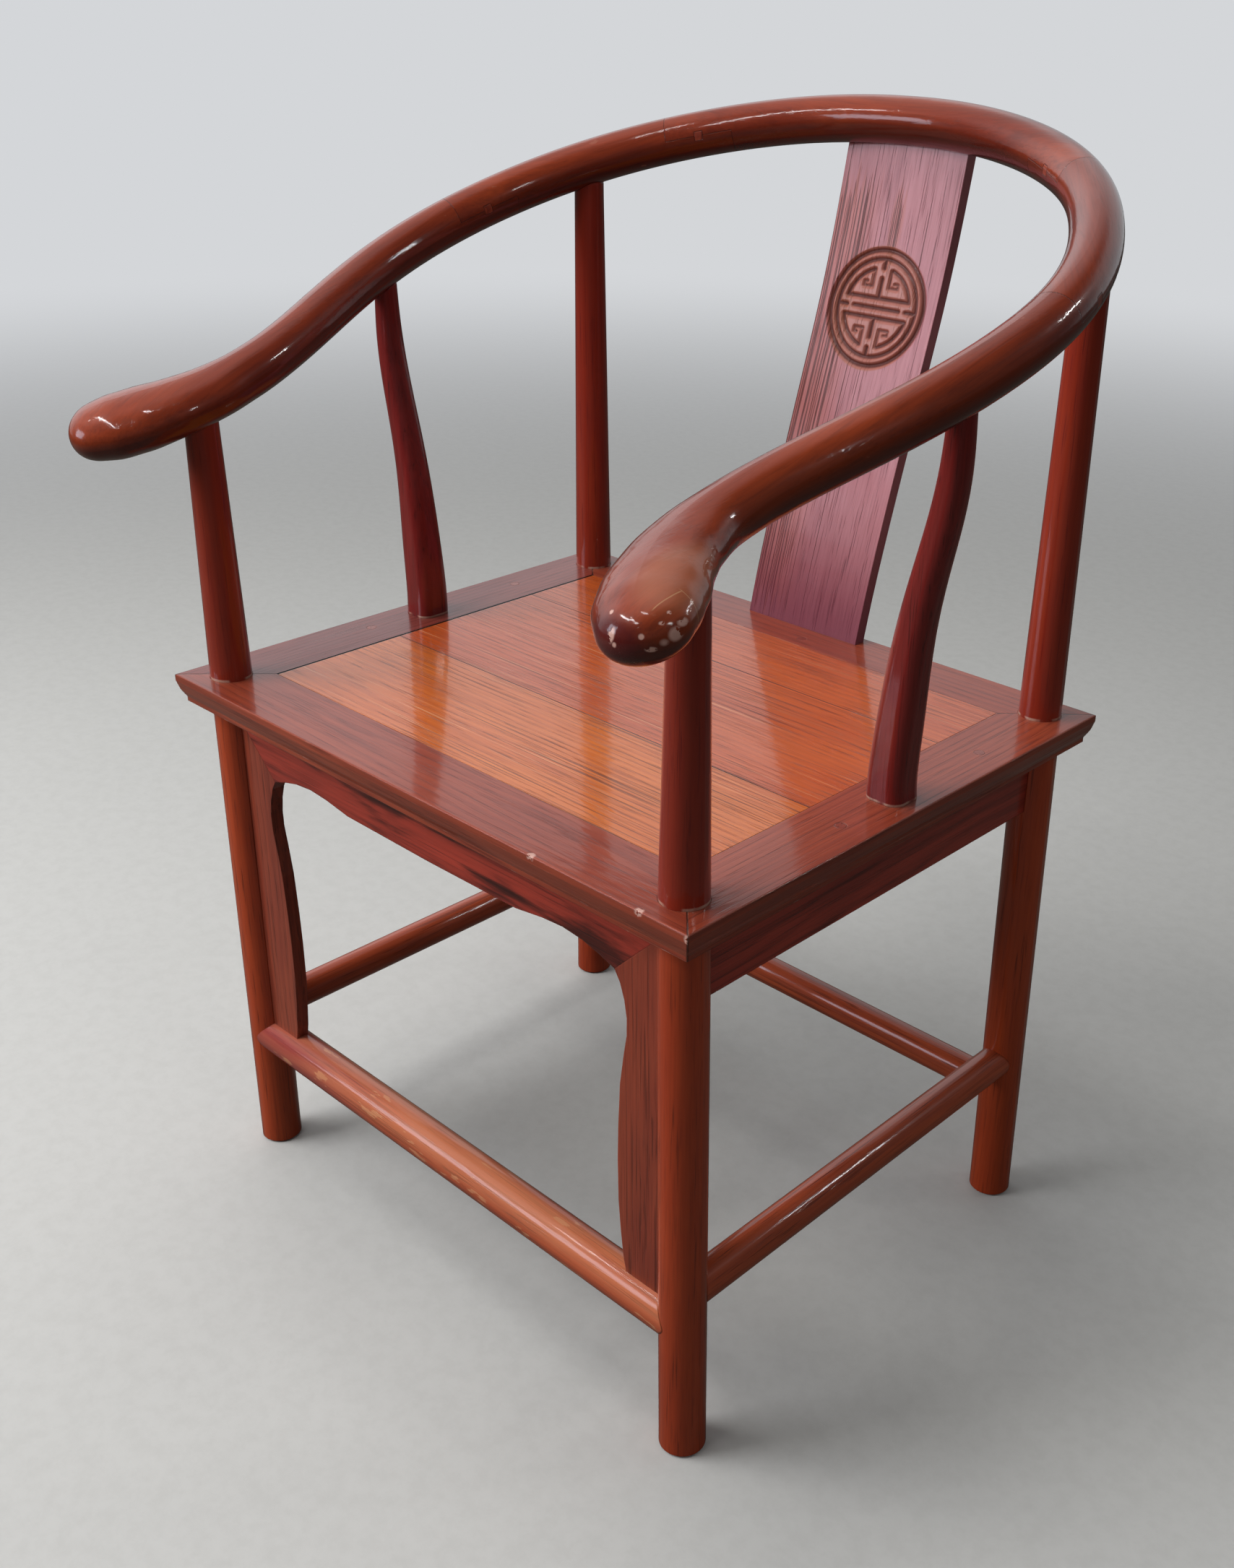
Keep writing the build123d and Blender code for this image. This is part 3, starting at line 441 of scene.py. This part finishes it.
def dress_seat():
    """Boards, battens, frame and pegs."""
    front = board_wood("seat_front", SEAT_FRONT_TONE, heart=(-0.145, 0.488), apex=0.42, tilt=0.055, pitch=0.0065,
                       figure=0.24)
    dress(["seat_board_1"], front.finish(SEAT_ROUGHNESS))
    middle = board_wood("seat_middle", SEAT_BACK_TONE, heart=(0.3, 0.3), figure=0.2)
    dress(["seat_board_2"], middle.finish(SEAT_ROUGHNESS))
    rear = board_wood("seat_rear", SEAT_BACK_TONE, heart=(0.5, 0.3), figure=0.22)
    dress(["seat_board_3"], rear.finish(SEAT_ROUGHNESS))
    batten = Wood("batten", RAIL_TONE, grain=LENGTHWISE)
    dress(["batten_left", "batten_right"], batten.finish(roughness=0.5, coat=0.1))

    front = rail_wood("rail_front", RAIL_TONE, heart=(-0.212, 0.486), apex=0.34, tilt=0.06, pitch=0.008, figure=0.24)
    for place in FRONT_CHIPS:
        chip = front.shader.times(front.shader.near(place, FRONT_CHIP_REACH), front.patches(RAGGED_CHIP))
        front.cover(chip, CHIPPED, dull=0.3, rise=-1.0)
    dress(["seat_rail_front"], front.finish(coat=RAIL_COAT))
    back = rail_wood("rail_back", RAIL_TONE, heart=(0.4, 0.2))
    dress(["seat_rail_back"], back.finish(coat=RAIL_COAT))
    left = rail_wood("rail_left", RAIL_LEFT_TONE_SHADED, grain=LENGTHWISE, heart=(0.6, 0.4))
    left.cover(left.shader.step(left.x, *(LEFT_RAIL_EDGE + width for width in RAIL_GAP)), GRIME)
    dress(["seat_rail_left"], left.finish(coat=RAIL_COAT))
    right = rail_wood("rail_right", RAIL_TONE, grain=LENGTHWISE, heart=(-0.6, 0.3))
    dress(["seat_rail_right"], right.finish(coat=RAIL_COAT))
    peg = Wood("peg", RAIL_TONE, grain=UPRIGHT, pitch=0.0015, heart=(0, 0), figure=0.5)
    dress(["seat_pegs", "crest_pins"], peg.finish())


# ---------------------------------------------------------------- legs and posts
GLUE_HEIGHT, GLUE_FADE = 1.6 * MM, 0.8 * MM
GLUE_BREAKS = Patches(40.0, 70.0, 0.4, 0.55)
GLUE = colour(186, 146, 128)
RED_STARTS = SEAT_TOP - 0.03      # legs turn a deeper red from here up
DEEP_RED = colour(108, 20, 24)
SCRAPE_AT, SCRAPE_REACH = (-0.228, -0.232, 0.650), (0.016, 0.03, 0.036)
SCRAPE_FLAKES = Patches(130.0, 330.0, 0.46, 0.56)
SCRAPED = colour(176, 96, 84)
TURNED_RELIEF = 0.12 * MM


def glue_line(wood):
    """Pale broken line of old glue round the foot of a post, where it stands on the seat."""
    shader = wood.shader
    low = shader.band(wood.z, SEAT_TOP, SEAT_TOP + GLUE_HEIGHT, GLUE_FADE)
    return wood.cover(shader.times(low, wood.patches(GLUE_BREAKS)), GLUE, share=0.85, dull=0.3)


def leg_wood(name):
    """A leg, deeper red above the seat than below it."""
    wood = Wood(name, LEG_TONE, grain=UPRIGHT, heart=(0.1, 0.3), figure=0.08, lines=0.08, streaks=0.28)
    wood.cover(wood.shader.step(wood.z, RED_STARTS, SEAT_TOP), DEEP_RED, share=0.62)
    return glue_line(wood)


def dress_posts():
    """Legs, of which the front left one is scraped above the seat, and side posts."""
    for name in ("leg_front_right", "leg_back_left", "leg_back_right"):
        dress([name], leg_wood(name).finish(relief=TURNED_RELIEF))
    rubbed = leg_wood("leg_front_left")
    scrape = rubbed.shader.times(rubbed.shader.near(SCRAPE_AT, SCRAPE_REACH), rubbed.patches(SCRAPE_FLAKES))
    rubbed.cover(scrape, SCRAPED, share=0.85, dull=0.4, rise=-1.0)
    dress(["leg_front_left"], rubbed.finish(relief=0.2 * MM))
    for side in ("left", "right"):
        wood = Wood("side_post_" + side, POST_TONE, grain=UPRIGHT, figure=0.1, lines=0.2, streaks=0.5)
        dress(["side_post_" + side], glue_line(wood).finish(roughness=0.3, relief=TURNED_RELIEF))


# ---------------------------------------------------------------- crest rail
CREST_POLISH = {"roughness": 0.3, "relief": 0.1 * MM, "coat_roughness": 0.06, "ripple": 0.2 * MM}
FACING_UP, FACING_DOWN = (0.4, 0.9), (0.35, -0.45)      # upward part of the surface's direction where the painted light on top and the painted shade underneath start and are full
PAINTED_LIGHT_ON_TOP = colour(168, 72, 32)
PAINTED_SHADE_UNDERSIDE = colour(54, 17, 15)
CREST_JOINT_EDGE = (0.985, 0.9)
BRUISES = Patches(45.0, 90.0, 0.72, 0.75)
BRUISED = colour(150, 86, 66)

# right-hand grip: a worn area on top, lighter from wear and painted sheen, and a dark one at the nose, as place and
# reach
GRIP_TOP = ((0.312, -0.256, 0.745), (0.034, 0.052, 0.034))
GRIP_TOP_WORN_AND_SHEEN = colour(172, 104, 74)
GRIP_NOSE = ((0.302, -0.316, 0.718), (0.034, 0.024, 0.022))
GRIP_NOSE_DARK = colour(74, 20, 24)
# place of each chip in its lacquer, then its reach, mm
GRIP_CHIPS = (
    ((302.5, -311.5, 722), (3, 4, 6.5)), ((331.5, -289, 724), (4, 6.5, 5.5)), ((331, -283, 729.5), (4, 5, 3)),
    ((326.5, -294, 720), (4, 4.5, 3.5)), ((320, -305, 723.5), (2.2, 2.2, 2.2)), ((324.5, -301.5, 716), (4.5, 4.5, 2.2)),
    ((325.5, -288.5, 735), (1.7, 1.7, 1.7)), ((326.5, -295, 730.5), (2.6, 3, 1.4)), ((295.5, -304, 731.5), (2, 2, 2)),
    ((305.5, -312.5, 716.5), (2, 2, 2.4)), ((309, -312, 711.5), (1.8, 1.8, 3.2)),
)
CHIP_TEARS = Patches(190.0, 250.0, 0.42, 0.46, detail=4.0)
# scratches across its top: both ends in plan, and half width, mm
GRIP_SCRATCHES = (((318.4, -296), (319.6, -271), 0.3), ((317, -273), (332, -268), 0.22))
SCRATCH_LOWEST = (0.722, 0.728)   # height where a scratch starts and is full
SCRATCH_ENDS = 3 * MM
SCRATCH_EDGE = (1.6, 0.6)         # half widths out where it starts and is full
SCRATCHED = colour(206, 160, 116)


def crest_wood(name, grain):
    """Crest rail piece: deep gloss, dark lines at its joints, a few bruises in the lacquer.

    Its top is lighter from painted light and its underside darker from painted shade, by which way each face looks.
    """
    wood = Wood(name, CREST_TONE, grain=grain, figure=0.06, lines=0.2, pores=0.25, streaks=0.32, mottle=0.7,
                pitch=0.009)
    shader = wood.shader
    upward = shader.split(wood.soft_normal)[2]
    # painted light where the surface looks up, painted shade where it looks down
    wood.cover(shader.step(upward, *FACING_UP), PAINTED_LIGHT_ON_TOP, share=0.12)
    wood.cover(shader.step(upward, *FACING_DOWN), PAINTED_SHADE_UNDERSIDE, share=0.75)
    wood.cover(wood.sharp_edges(*CREST_JOINT_EDGE), GRIME, share=0.75, dull=0.1, rise=-0.6)
    wood.cover(wood.patches(BRUISES), BRUISED, share=0.5, dull=0.3)
    return wood


def wear_right_grip(arm):
    """Flaked lacquer round the nose of the right-hand grip, and scratches over it."""
    shader = arm.shader
    # the top lighter: partly wear, partly painted sheen
    arm.cover(shader.near(*GRIP_TOP), GRIP_TOP_WORN_AND_SHEEN, share=0.55, dull=0.1)
    arm.cover(shader.near(*GRIP_NOSE), GRIP_NOSE_DARK, share=0.8)
    chips = 0.0
    for place, reach in GRIP_CHIPS:
        spot = shader.near(tuple(value * MM for value in place), tuple(value * MM for value in reach))
        chips = shader.math("MAXIMUM", chips, spot)
    arm.cover(shader.times(chips, arm.patches(CHIP_TEARS)), CHIPPED, dull=0.35, rise=-1.2)
    for first, last, half in GRIP_SCRATCHES:
        first, last = Vector(first) * MM, Vector(last) * MM
        middle, run = (first + last) / 2, last - first
        along = run.normalized()
        aside = shader.from_line(first, last, arm.x, arm.y)
        from_middle = shader.vector("SUBTRACT", shader.point, (middle.x, middle.y, 0.0))
        share = shader.math("ABSOLUTE", shader.vector("DOT_PRODUCT", from_middle, (along.x, along.y, 0.0)))
        line = shader.times(shader.step(aside, *(half * width * MM for width in SCRATCH_EDGE)),
                            shader.step(share, run.length / 2, run.length / 2 - SCRATCH_ENDS),
                            shader.step(arm.z, *SCRATCH_LOWEST))
        arm.cover(line, SCRATCHED, share=0.45, dull=0.2, rise=-0.5)


def dress_crest():
    """The five pieces of the crest rail, the grain following each."""
    for side, sign in (("left", -1), ("right", 1)):
        arm = crest_wood("crest_arm_" + side, (sign * 0.12, 0.93, 0.34))
        if side == "right":
            wear_right_grip(arm)
        dress(["crest_arm_" + side], arm.finish(**CREST_POLISH))
        shoulder = crest_wood("crest_shoulder_" + side, (-sign * 0.62, 0.72, 0.3))
        dress(["crest_shoulder_" + side], shoulder.finish(**CREST_POLISH))
    dress(["crest_back"], crest_wood("crest_back", CROSSWISE).finish(**CREST_POLISH))


# ---------------------------------------------------------------- below the seat
APRON_ROUGHNESS = 0.38
APRON_DIRT = Patches(5.0, 34.0, 0.5, 0.6, detail=5.0)
DIRTY = colour(30, 11, 10)
STRETCHER_ROUGHNESS = 0.34
PURPLE_END = (-0.06, -0.2)        # x where the front stretcher starts to turn purple and is so
STRETCHER_PURPLE = colour(136, 52, 60)
WORN_AND_LIT_CROWN = (0.122, 0.14)        # height on it where its top, lighter from foot wear and a painted highlight, starts and is full
CROWN_WEAR_AND_HIGHLIGHT = Patches(4.0, 40.0, 0.3, 0.6)
CROWN_WORN_AND_HIGHLIT = colour(206, 130, 92)
SCUFFS = Patches(30.0, 130.0, 0.64, 0.67)
SCUFFED = colour(206, 140, 100)


def dress_below():
    """Aprons, spandrels and stretchers."""
    wide = Wood("apron_front", APRON_TONE, heart=(0.1, 0.44), apex=0.1, tilt=0.05, figure=0.4, streaks=1.0, lines=0.7)
    wide.cover(wide.patches(APRON_DIRT), DIRTY, share=0.85, dull=0.1)
    dress(["apron_front"], wide.finish(APRON_ROUGHNESS))
    dress(["apron_back"], Wood("apron_back", APRON_TONE).finish(APRON_ROUGHNESS))
    side = Wood("apron_side", APRON_TONE, grain=LENGTHWISE, heart=(0.4, 0.2), figure=0.3, streaks=0.7)
    dress(["apron_left", "apron_right"], side.finish(APRON_ROUGHNESS))
    spandrel = Wood("spandrel", SPANDREL_TONE, grain=UPRIGHT, heart=(0.3, 0.3), figure=0.2, lines=0.6)
    dress(["spandrel_left", "spandrel_right"], spandrel.finish(APRON_ROUGHNESS))

    front = Wood("stretcher_front", STRETCHER_TONE, figure=0.12, lines=0.5)
    shader = front.shader
    front.cover(shader.step(front.x, *PURPLE_END), STRETCHER_PURPLE, share=0.6)
    # lighter top: partly worn by feet, partly a painted highlight
    crown = shader.times(shader.step(front.z, *WORN_AND_LIT_CROWN), front.patches(CROWN_WEAR_AND_HIGHLIGHT))
    front.cover(crown, CROWN_WORN_AND_HIGHLIT, share=0.65, dull=0.1)
    front.cover(front.patches(SCUFFS), SCUFFED, share=0.7, dull=0.2)
    dress(["stretcher_front"], front.finish(STRETCHER_ROUGHNESS))
    back = Wood("stretcher_back", STRETCHER_TONE, figure=0.12, lines=0.5)
    dress(["stretcher_back"], back.finish(STRETCHER_ROUGHNESS))
    side = Wood("stretcher_side", STRETCHER_TONE, grain=LENGTHWISE, figure=0.12, lines=0.5)
    dress(["stretcher_left", "stretcher_right"], side.finish(STRETCHER_ROUGHNESS))


# ---------------------------------------------------------------- carved splat
ROUNDEL_HEIGHT = 0.7847       # centre of the roundel above the floor
# the roundel's own sizes, mm
ROUNDEL_RADIUS = 54.6         # outer edge of the outer groove
ROUNDEL_MARGIN = 1.5          # finely meshed round it
RING_GROOVES = ((51.0, 3.6), (43.2, 3.3))      # middle radius and half width
GROOVE = 3.2                  # half width of the straight grooves
HOOK_GROOVE = 2.5
CARVING_DEPTH = 2.3
DEEPEST = 1.15                # of a wide groove, in carving depths
LIP_SOFTNESS = 0.25
ARC_RADIUS = 35.0
BAR = 8.6                     # long bars above and below the middle
SPINE = 9.2                   # uprights each side of the middle line
OUT_OF_REACH = 1e3
# strokes of one quarter, from the centre, mirrored both ways: points, then half width
STROKES = (
    (((0, 43), (0, 35)), GROOVE),
    (((0, 26), (0, BAR)), GROOVE),
    (((0, 0), (25, 0)), GROOVE),
    (((33, 0), (43, 0)), GROOVE),
    (((0, BAR), (34, BAR)), GROOVE),
    (((SPINE, 33.8), (SPINE, 18.6), (18.6, 18.6), (18.6, 22.6), (15.5, 22.6)), HOOK_GROOVE),
)
FINE_STEP = 0.5 * MM          # mesh steps over the roundel and elsewhere
COARSE_STEP = 1.4 * MM
SPLAT_SUNK = 1.0 * MM         # the board runs this far into the seat rail
OFF_MIDDLE = 1.0 * MM         # rays that find the CAD board's faces keep off its middle line
CLEAR = 1.0                   # and start this far from it
SIDEWAYS = 0.9                # faces that look this far sideways are the board's flat edges
ON_THE_BACK = -1.0            # the carved attribute there; 0 on the front, 1 at the bottom of a groove
OFF_THE_BACK = (-0.9, -0.1)
IN_A_GROOVE = (0.25, 0.95)


def stroke_depth(u, v):
    """Carved depth, mm, at places in the roundel's own plane: V grooves with softened bottoms and lips."""
    depth = np.zeros_like(u)

    def cut(distance, half):
        share = np.clip(1 - distance / half, 0, 1)
        np.maximum(depth, np.sin(share * math.pi / 2) * share ** LIP_SOFTNESS * half / GROOVE, out=depth)

    radius = np.hypot(u, v)
    for middle, half in RING_GROOVES:
        cut(np.abs(radius - middle), half)
    across, along = np.abs(u), np.abs(v)
    angle = np.arctan2(along, across)
    first, last = math.asin(BAR / ARC_RADIUS), math.acos(SPINE / ARC_RADIUS)
    inside = (angle > first) & (angle < last)
    cut(np.where(inside, np.abs(radius - ARC_RADIUS), OUT_OF_REACH), GROOVE)
    for points, half in STROKES:
        for (x0, y0), (x1, y1) in zip(points, points[1:]):
            dx, dy = x1 - x0, y1 - y0
            share = np.clip(((across - x0) * dx + (along - y0) * dy) / (dx * dx + dy * dy), 0, 1)
            cut(np.hypot(across - x0 - share * dx, along - y0 - share * dy), half)
    return np.clip(depth, 0, DEEPEST) * CARVING_DEPTH


def steps(start, end, step):
    """Even steps of about this size."""
    return np.linspace(start, end, max(2, round((end - start) / step) + 1))


def board_faces(rows):
    """Where the CAD board's front and rear faces are, at each height."""
    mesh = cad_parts["back_splat"].data
    low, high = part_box("back_splat")
    tree = BVHTree.FromPolygons([v.co[:] for v in mesh.vertices], [p.vertices[:] for p in mesh.polygons])

    def hits(start, way):
        return np.array([tree.ray_cast(Vector((OFF_MIDDLE, start, z)), Vector((0, way, 0)))[0].y for z in rows])

    return hits(low.y - CLEAR, 1), hits(high.y + CLEAR, -1)


def carved_mesh():
    """The board's own faces as a mesh, with the roundel cut into the front one."""
    low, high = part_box("back_splat")
    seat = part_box("seat_rail_back")[1].z - SPLAT_SUNK
    half = (high.x - low.x) / 2
    reach = (ROUNDEL_RADIUS + ROUNDEL_MARGIN) * MM
    columns = steps(-half, half, FINE_STEP)
    rows = np.unique(np.round(np.concatenate((
        steps(seat, ROUNDEL_HEIGHT - reach, COARSE_STEP),
        steps(ROUNDEL_HEIGHT - reach, ROUNDEL_HEIGHT + reach, FINE_STEP),
        steps(ROUNDEL_HEIGHT + reach, high.z - SPLAT_SUNK, COARSE_STEP))), 7))
    front, rear = board_faces(rows)
    lean = np.interp(ROUNDEL_HEIGHT, rows, np.gradient(front, rows))
    stretch = math.hypot(1, lean)
    x, z = np.meshgrid(columns, rows)
    depth = stroke_depth(x / MM, (z - ROUNDEL_HEIGHT) * stretch / MM) * MM
    y = front[:, None] + depth * stretch
    verts = np.stack([x, y, z], -1).reshape(-1, 3)
    back_verts = np.stack([np.repeat([[-half, half]], len(rows), 0), np.repeat(rear[:, None], 2, 1),
                           np.repeat(rows[:, None], 2, 1)], -1).reshape(-1, 3)
    count = len(columns)
    faces = []
    for row in range(len(rows) - 1):
        a = row * count
        faces += [(a + c, a + c + 1, a + count + c + 1, a + count + c) for c in range(count - 1)]
        b = len(verts) + 2 * row
        faces.append((b + 1, b, b + 2, b + 3))
        faces.append((b, a, a + count, b + 2))
        faces.append((a + count - 1, b + 1, b + 3, a + 2 * count - 1))
    mesh = bpy.data.meshes.new("splat_carved")
    mesh.from_pydata(np.concatenate((verts, back_verts)).tolist(), [], faces)
    carved = np.concatenate((depth.ravel() / (CARVING_DEPTH * MM), np.full(len(back_verts), ON_THE_BACK)))
    mesh.attributes.new("carved", "FLOAT", "POINT").data.foreach_set("value", carved.astype(np.float32))
    for polygon in mesh.polygons:
        polygon.use_smooth = abs(polygon.normal.x) < SIDEWAYS
    mesh.update()
    return mesh


def build_splat():
    """The carved splat in place of the CAD board."""
    splat = bpy.data.objects.new("splat_carved", carved_mesh())
    link(splat)
    splat.data.materials.append(splat_wood())
    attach(splat, ROOT)
    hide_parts("back_splat")


# furrows: heights where they start and have started at the foot and at the top, and how far their ends wander
FURROW_FOOT, FURROW_TOP = (0.46, 0.48), (0.945, 0.915)
FURROW_ENDS_FINENESS, FURROW_ENDS_WANDER = 260.0, 0.09
FURROW_LEFT = (-0.008, -0.044)    # x from which they thicken towards the left edge
FURROW_ABOVE = ((0.0035, 0.335, 0.855), (0.009, 0.1, 0.05))      # those over the roundel: place and reach
LEFT_EASE, ABOVE_EASE, OTHER_EASE = 0.15, 0.16, 0.03             # how much more readily they form in each
FURROW_NOISE, BREAK_NOISE = Noise(2.0, 760.0, detail=1.0, roughness=0.4), Noise(11.0, 210.0)
BREAK_SHARE = 0.22
FURROW_LEVEL = (0.80, 0.86)
FURROWED = colour(166, 88, 72)    # wood between them
FURROW = colour(82, 34, 26)
PURPLE_FOOT = (0.62, 0.5)         # height where the board starts to turn purple and is so
SPLAT_PURPLE = colour(112, 50, 68)
ROUNDEL_FACE = colour(166, 104, 84)
ROUNDEL_EDGE = (54 * MM, 52 * MM)
GROOVE_SHADE_AND_STAIN = colour(74, 28, 24)


def furrow_splat(wood):
    """Deep upright furrows down the left-hand third and over the roundel, with ragged ends."""
    shader = wood.shader
    ragged = shader.noise(shader.join(shader.times(wood.x, FURROW_ENDS_FINENESS), 0.0, 0.0), detail=1.0)
    ragged = shader.times(ragged, FURROW_ENDS_WANDER)
    tall = shader.times(shader.step(shader.less(wood.z, ragged), *FURROW_FOOT),
                        shader.step(shader.total(wood.z, ragged), *FURROW_TOP))
    left = shader.times(shader.step(wood.x, *FURROW_LEFT), tall)
    above = shader.times(shader.near(*FURROW_ABOVE), tall)
    ease = shader.total(shader.times(left, LEFT_EASE), shader.times(above, ABOVE_EASE), shader.times(tall, OTHER_EASE))
    fibre = shader.total(wood.noise(FURROW_NOISE), shader.times(wood.noise(BREAK_NOISE), BREAK_SHARE), ease)
    wood.cover(shader.math("MAXIMUM", left, above), FURROWED, share=0.55)
    wood.cover(shader.step(fibre, *FURROW_LEVEL), FURROW, share=0.85, dull=0.2, rise=-1.6)


def paint_roundel(wood):
    """Brown where the carving went through the stain, darkest in the grooves from painted shade and dark stain."""
    shader = wood.shader
    carved = shader.node("ShaderNodeAttribute", attribute_name="carved").outputs["Fac"]
    above = shader.less(wood.z, ROUNDEL_HEIGHT)
    radius = shader.math("SQRT", shader.total(shader.times(wood.x, wood.x), shader.times(above, above)))
    facing = shader.step(carved, *OFF_THE_BACK)
    wood.cover(shader.times(shader.step(radius, *ROUNDEL_EDGE), facing), ROUNDEL_FACE, share=0.7)
    # grooves darkened: painted shade and dark stain in the recess
    wood.cover(shader.step(carved, *IN_A_GROOVE), GROOVE_SHADE_AND_STAIN, share=0.85, dull=0.1)


def splat_wood():
    """Strong upright grain in a tone mixed with painted mauve sheen, furrowed, purple at the foot and brown in the
    carving.
    """
    wood = Wood("splat", SPLAT_TONE_AND_SHEEN, grain=UPRIGHT, heart=(0.25, 0.6), figure=0.1, pores=0.7, lines=0.0,
                mottle=0.8, streaks=0.3, flat=True)
    furrow_splat(wood)
    wood.cover(wood.shader.step(wood.z, *PURPLE_FOOT), SPLAT_PURPLE, share=0.7)
    paint_roundel(wood)
    return wood.finish(roughness=0.4, coat=0.7, relief=0.5 * MM, coat_roughness=0.2)


# ---------------------------------------------------------------- floor and light
FLOOR_REACH = 14.0
FADE_TO_BACKDROP = (1.6, 5.5)     # distance where the floor starts to turn into the backdrop and is it
PALE_FLOOR = colour(196, 195, 191)
FLOOR_SPECK = colour(150, 148, 142)
FLOOR_BOUNCE = colour(84, 80, 74)     # its colour to all but the camera
SPECK_LEVEL, SPECK_SHARE = (0.35, 0.7), 0.12
FLOOR_SPECULAR, FLOOR_ROUGHNESS = 0.1, 0.8
BACKDROP = colour(212, 214, 217)
ROOM_TINT = (0.93, 0.96, 1.0, 1.0)
ROOM_LEVEL, WALL_LEVEL, CEILING_LEVEL = 0.06, 0.43, 0.42
WALL_SIDE = heading(VIEW_AZIMUTH + math.pi, 0.0)     # the side behind the chair is the bright one
WALL_SPREAD, WALL_TOP = (0.1, 0.6), (0.72, 0.5)      # where it starts and is full, sideways and upwards
BRIGHT_CEILING = heading(math.radians(-100), math.radians(50))
CEILING_SPREAD = (0.6, 0.9)
LAMPS_AIM = Vector((0, 0, 0.6))
DAYLIGHT = (0.8, 0.85, 1.0)


def add_floor():
    """Pale floor that runs out into the pale backdrop."""
    wide = FLOOR_REACH
    mesh = bpy.data.meshes.new("floor")
    mesh.from_pydata([(-wide, -wide, 0), (wide, -wide, 0), (wide, wide, 0), (-wide, wide, 0)], [], [(0, 1, 2, 3)])
    floor = bpy.data.objects.new("floor", mesh)
    link(floor)
    shader = Shader.material("floor")
    seen = shader.node("ShaderNodeLightPath").outputs["Is Camera Ray"]
    speck = shader.step(shader.noise(shader.point, scale=55.0, detail=5.0, roughness=0.7), *SPECK_LEVEL)
    pale = shader.mix(shader.times(speck, SPECK_SHARE), PALE_FLOOR, FLOOR_SPECK)
    far = shader.times(shader.step(shader.vector("LENGTH", shader.point), *FADE_TO_BACKDROP), seen)
    shader.set(shader.surface.inputs["Base Color"], shader.mix(seen, FLOOR_BOUNCE, pale))
    shader.surface.inputs["Specular IOR Level"].default_value = FLOOR_SPECULAR
    shader.surface.inputs["Roughness"].default_value = FLOOR_ROUGHNESS
    plain = shader.node("ShaderNodeEmission", {"Color": BACKDROP, "Strength": 1.0})
    both = shader.node("ShaderNodeMixShader", {0: far, 1: shader.surface.outputs[0], 2: plain.outputs[0]})
    shader.tree.links.new(both.outputs[0], shader.tree.nodes["Material Output"].inputs["Surface"])
    mesh.materials.append(shader.made)


def add_lamp(name, azimuth, elevation, size, power, distance=2.8, tint=(1, 1, 1), mirrored=True):
    """Soft rectangular lamp aimed at the chair; angles in degrees. The lacquer mirrors it unless told not to."""
    out = heading(math.radians(azimuth), math.radians(elevation))
    data = bpy.data.lights.new(name, "AREA")
    data.shape = "RECTANGLE"
    data.size, data.size_y = size
    data.energy = power
    data.color = tint
    lamp = bpy.data.objects.new(name, data)
    lamp.location = LAMPS_AIM + out * distance
    lamp.rotation_mode = "QUATERNION"
    lamp.rotation_quaternion = (-out).to_track_quat("-Z", "Y")
    lamp.visible_camera = False
    lamp.visible_glossy = mirrored
    link(lamp)


def light_world():
    """Soft room: bright behind the chair and high on its left, dark elsewhere. The camera sees the backdrop."""
    world = bpy.data.worlds.new("world")
    bpy.context.scene.world = world
    world.use_nodes = True
    tree = world.node_tree
    shader = Shader(tree)
    look = shader.node("ShaderNodeTexCoord").outputs["Generated"]
    wall = shader.step(shader.vector("DOT_PRODUCT", look, tuple(WALL_SIDE)), *WALL_SPREAD)
    wall = shader.times(wall, shader.step(shader.split(look)[2], *WALL_TOP), WALL_LEVEL)
    ceiling = shader.step(shader.vector("DOT_PRODUCT", look, tuple(BRIGHT_CEILING)), *CEILING_SPREAD)
    level = shader.total(ROOM_LEVEL, wall, shader.times(ceiling, CEILING_LEVEL))
    room = shader.node("ShaderNodeBackground", {"Color": ROOM_TINT, "Strength": level})
    plain = shader.node("ShaderNodeBackground", {"Color": BACKDROP, "Strength": 1.0})
    seen = shader.node("ShaderNodeLightPath").outputs["Is Camera Ray"]
    both = shader.node("ShaderNodeMixShader", {0: seen, 1: room.outputs[0], 2: plain.outputs[0]})
    tree.links.new(both.outputs[0], tree.nodes["World Output"].inputs["Surface"])


def light_scene():
    """Three broad lamps that light the chair, and thin ones whose reflections show along its round parts."""
    light_world()
    add_lamp("overhead", azimuth=-70, elevation=76, size=(1.5, 1.1), power=29, distance=2.6, mirrored=False)
    add_lamp("key", azimuth=-42, elevation=24, size=(2.0, 1.5), power=60, distance=3.0, mirrored=False)
    add_lamp("fill", azimuth=40, elevation=6, size=(2.0, 1.5), power=5, distance=3.0, mirrored=False)
    add_lamp("strip_front", azimuth=-21, elevation=47, size=(2.2, 0.06), power=16)
    add_lamp("strip_high", azimuth=4, elevation=67, size=(0.6, 0.03), power=3)
    add_lamp("strip_right", azimuth=80, elevation=29, size=(0.4, 0.04), power=3)
    add_lamp("strip_back", azimuth=138, elevation=32, size=(0.4, 0.04), power=4)
    add_lamp("window_left", azimuth=-36, elevation=17, size=(1.1, 0.8), power=11.5, tint=DAYLIGHT)
    bpy.context.scene.view_settings.view_transform = "Standard"


add_camera()
dress_seat()
dress_posts()
dress_crest()
dress_below()
build_splat()
add_floor()
light_scene()
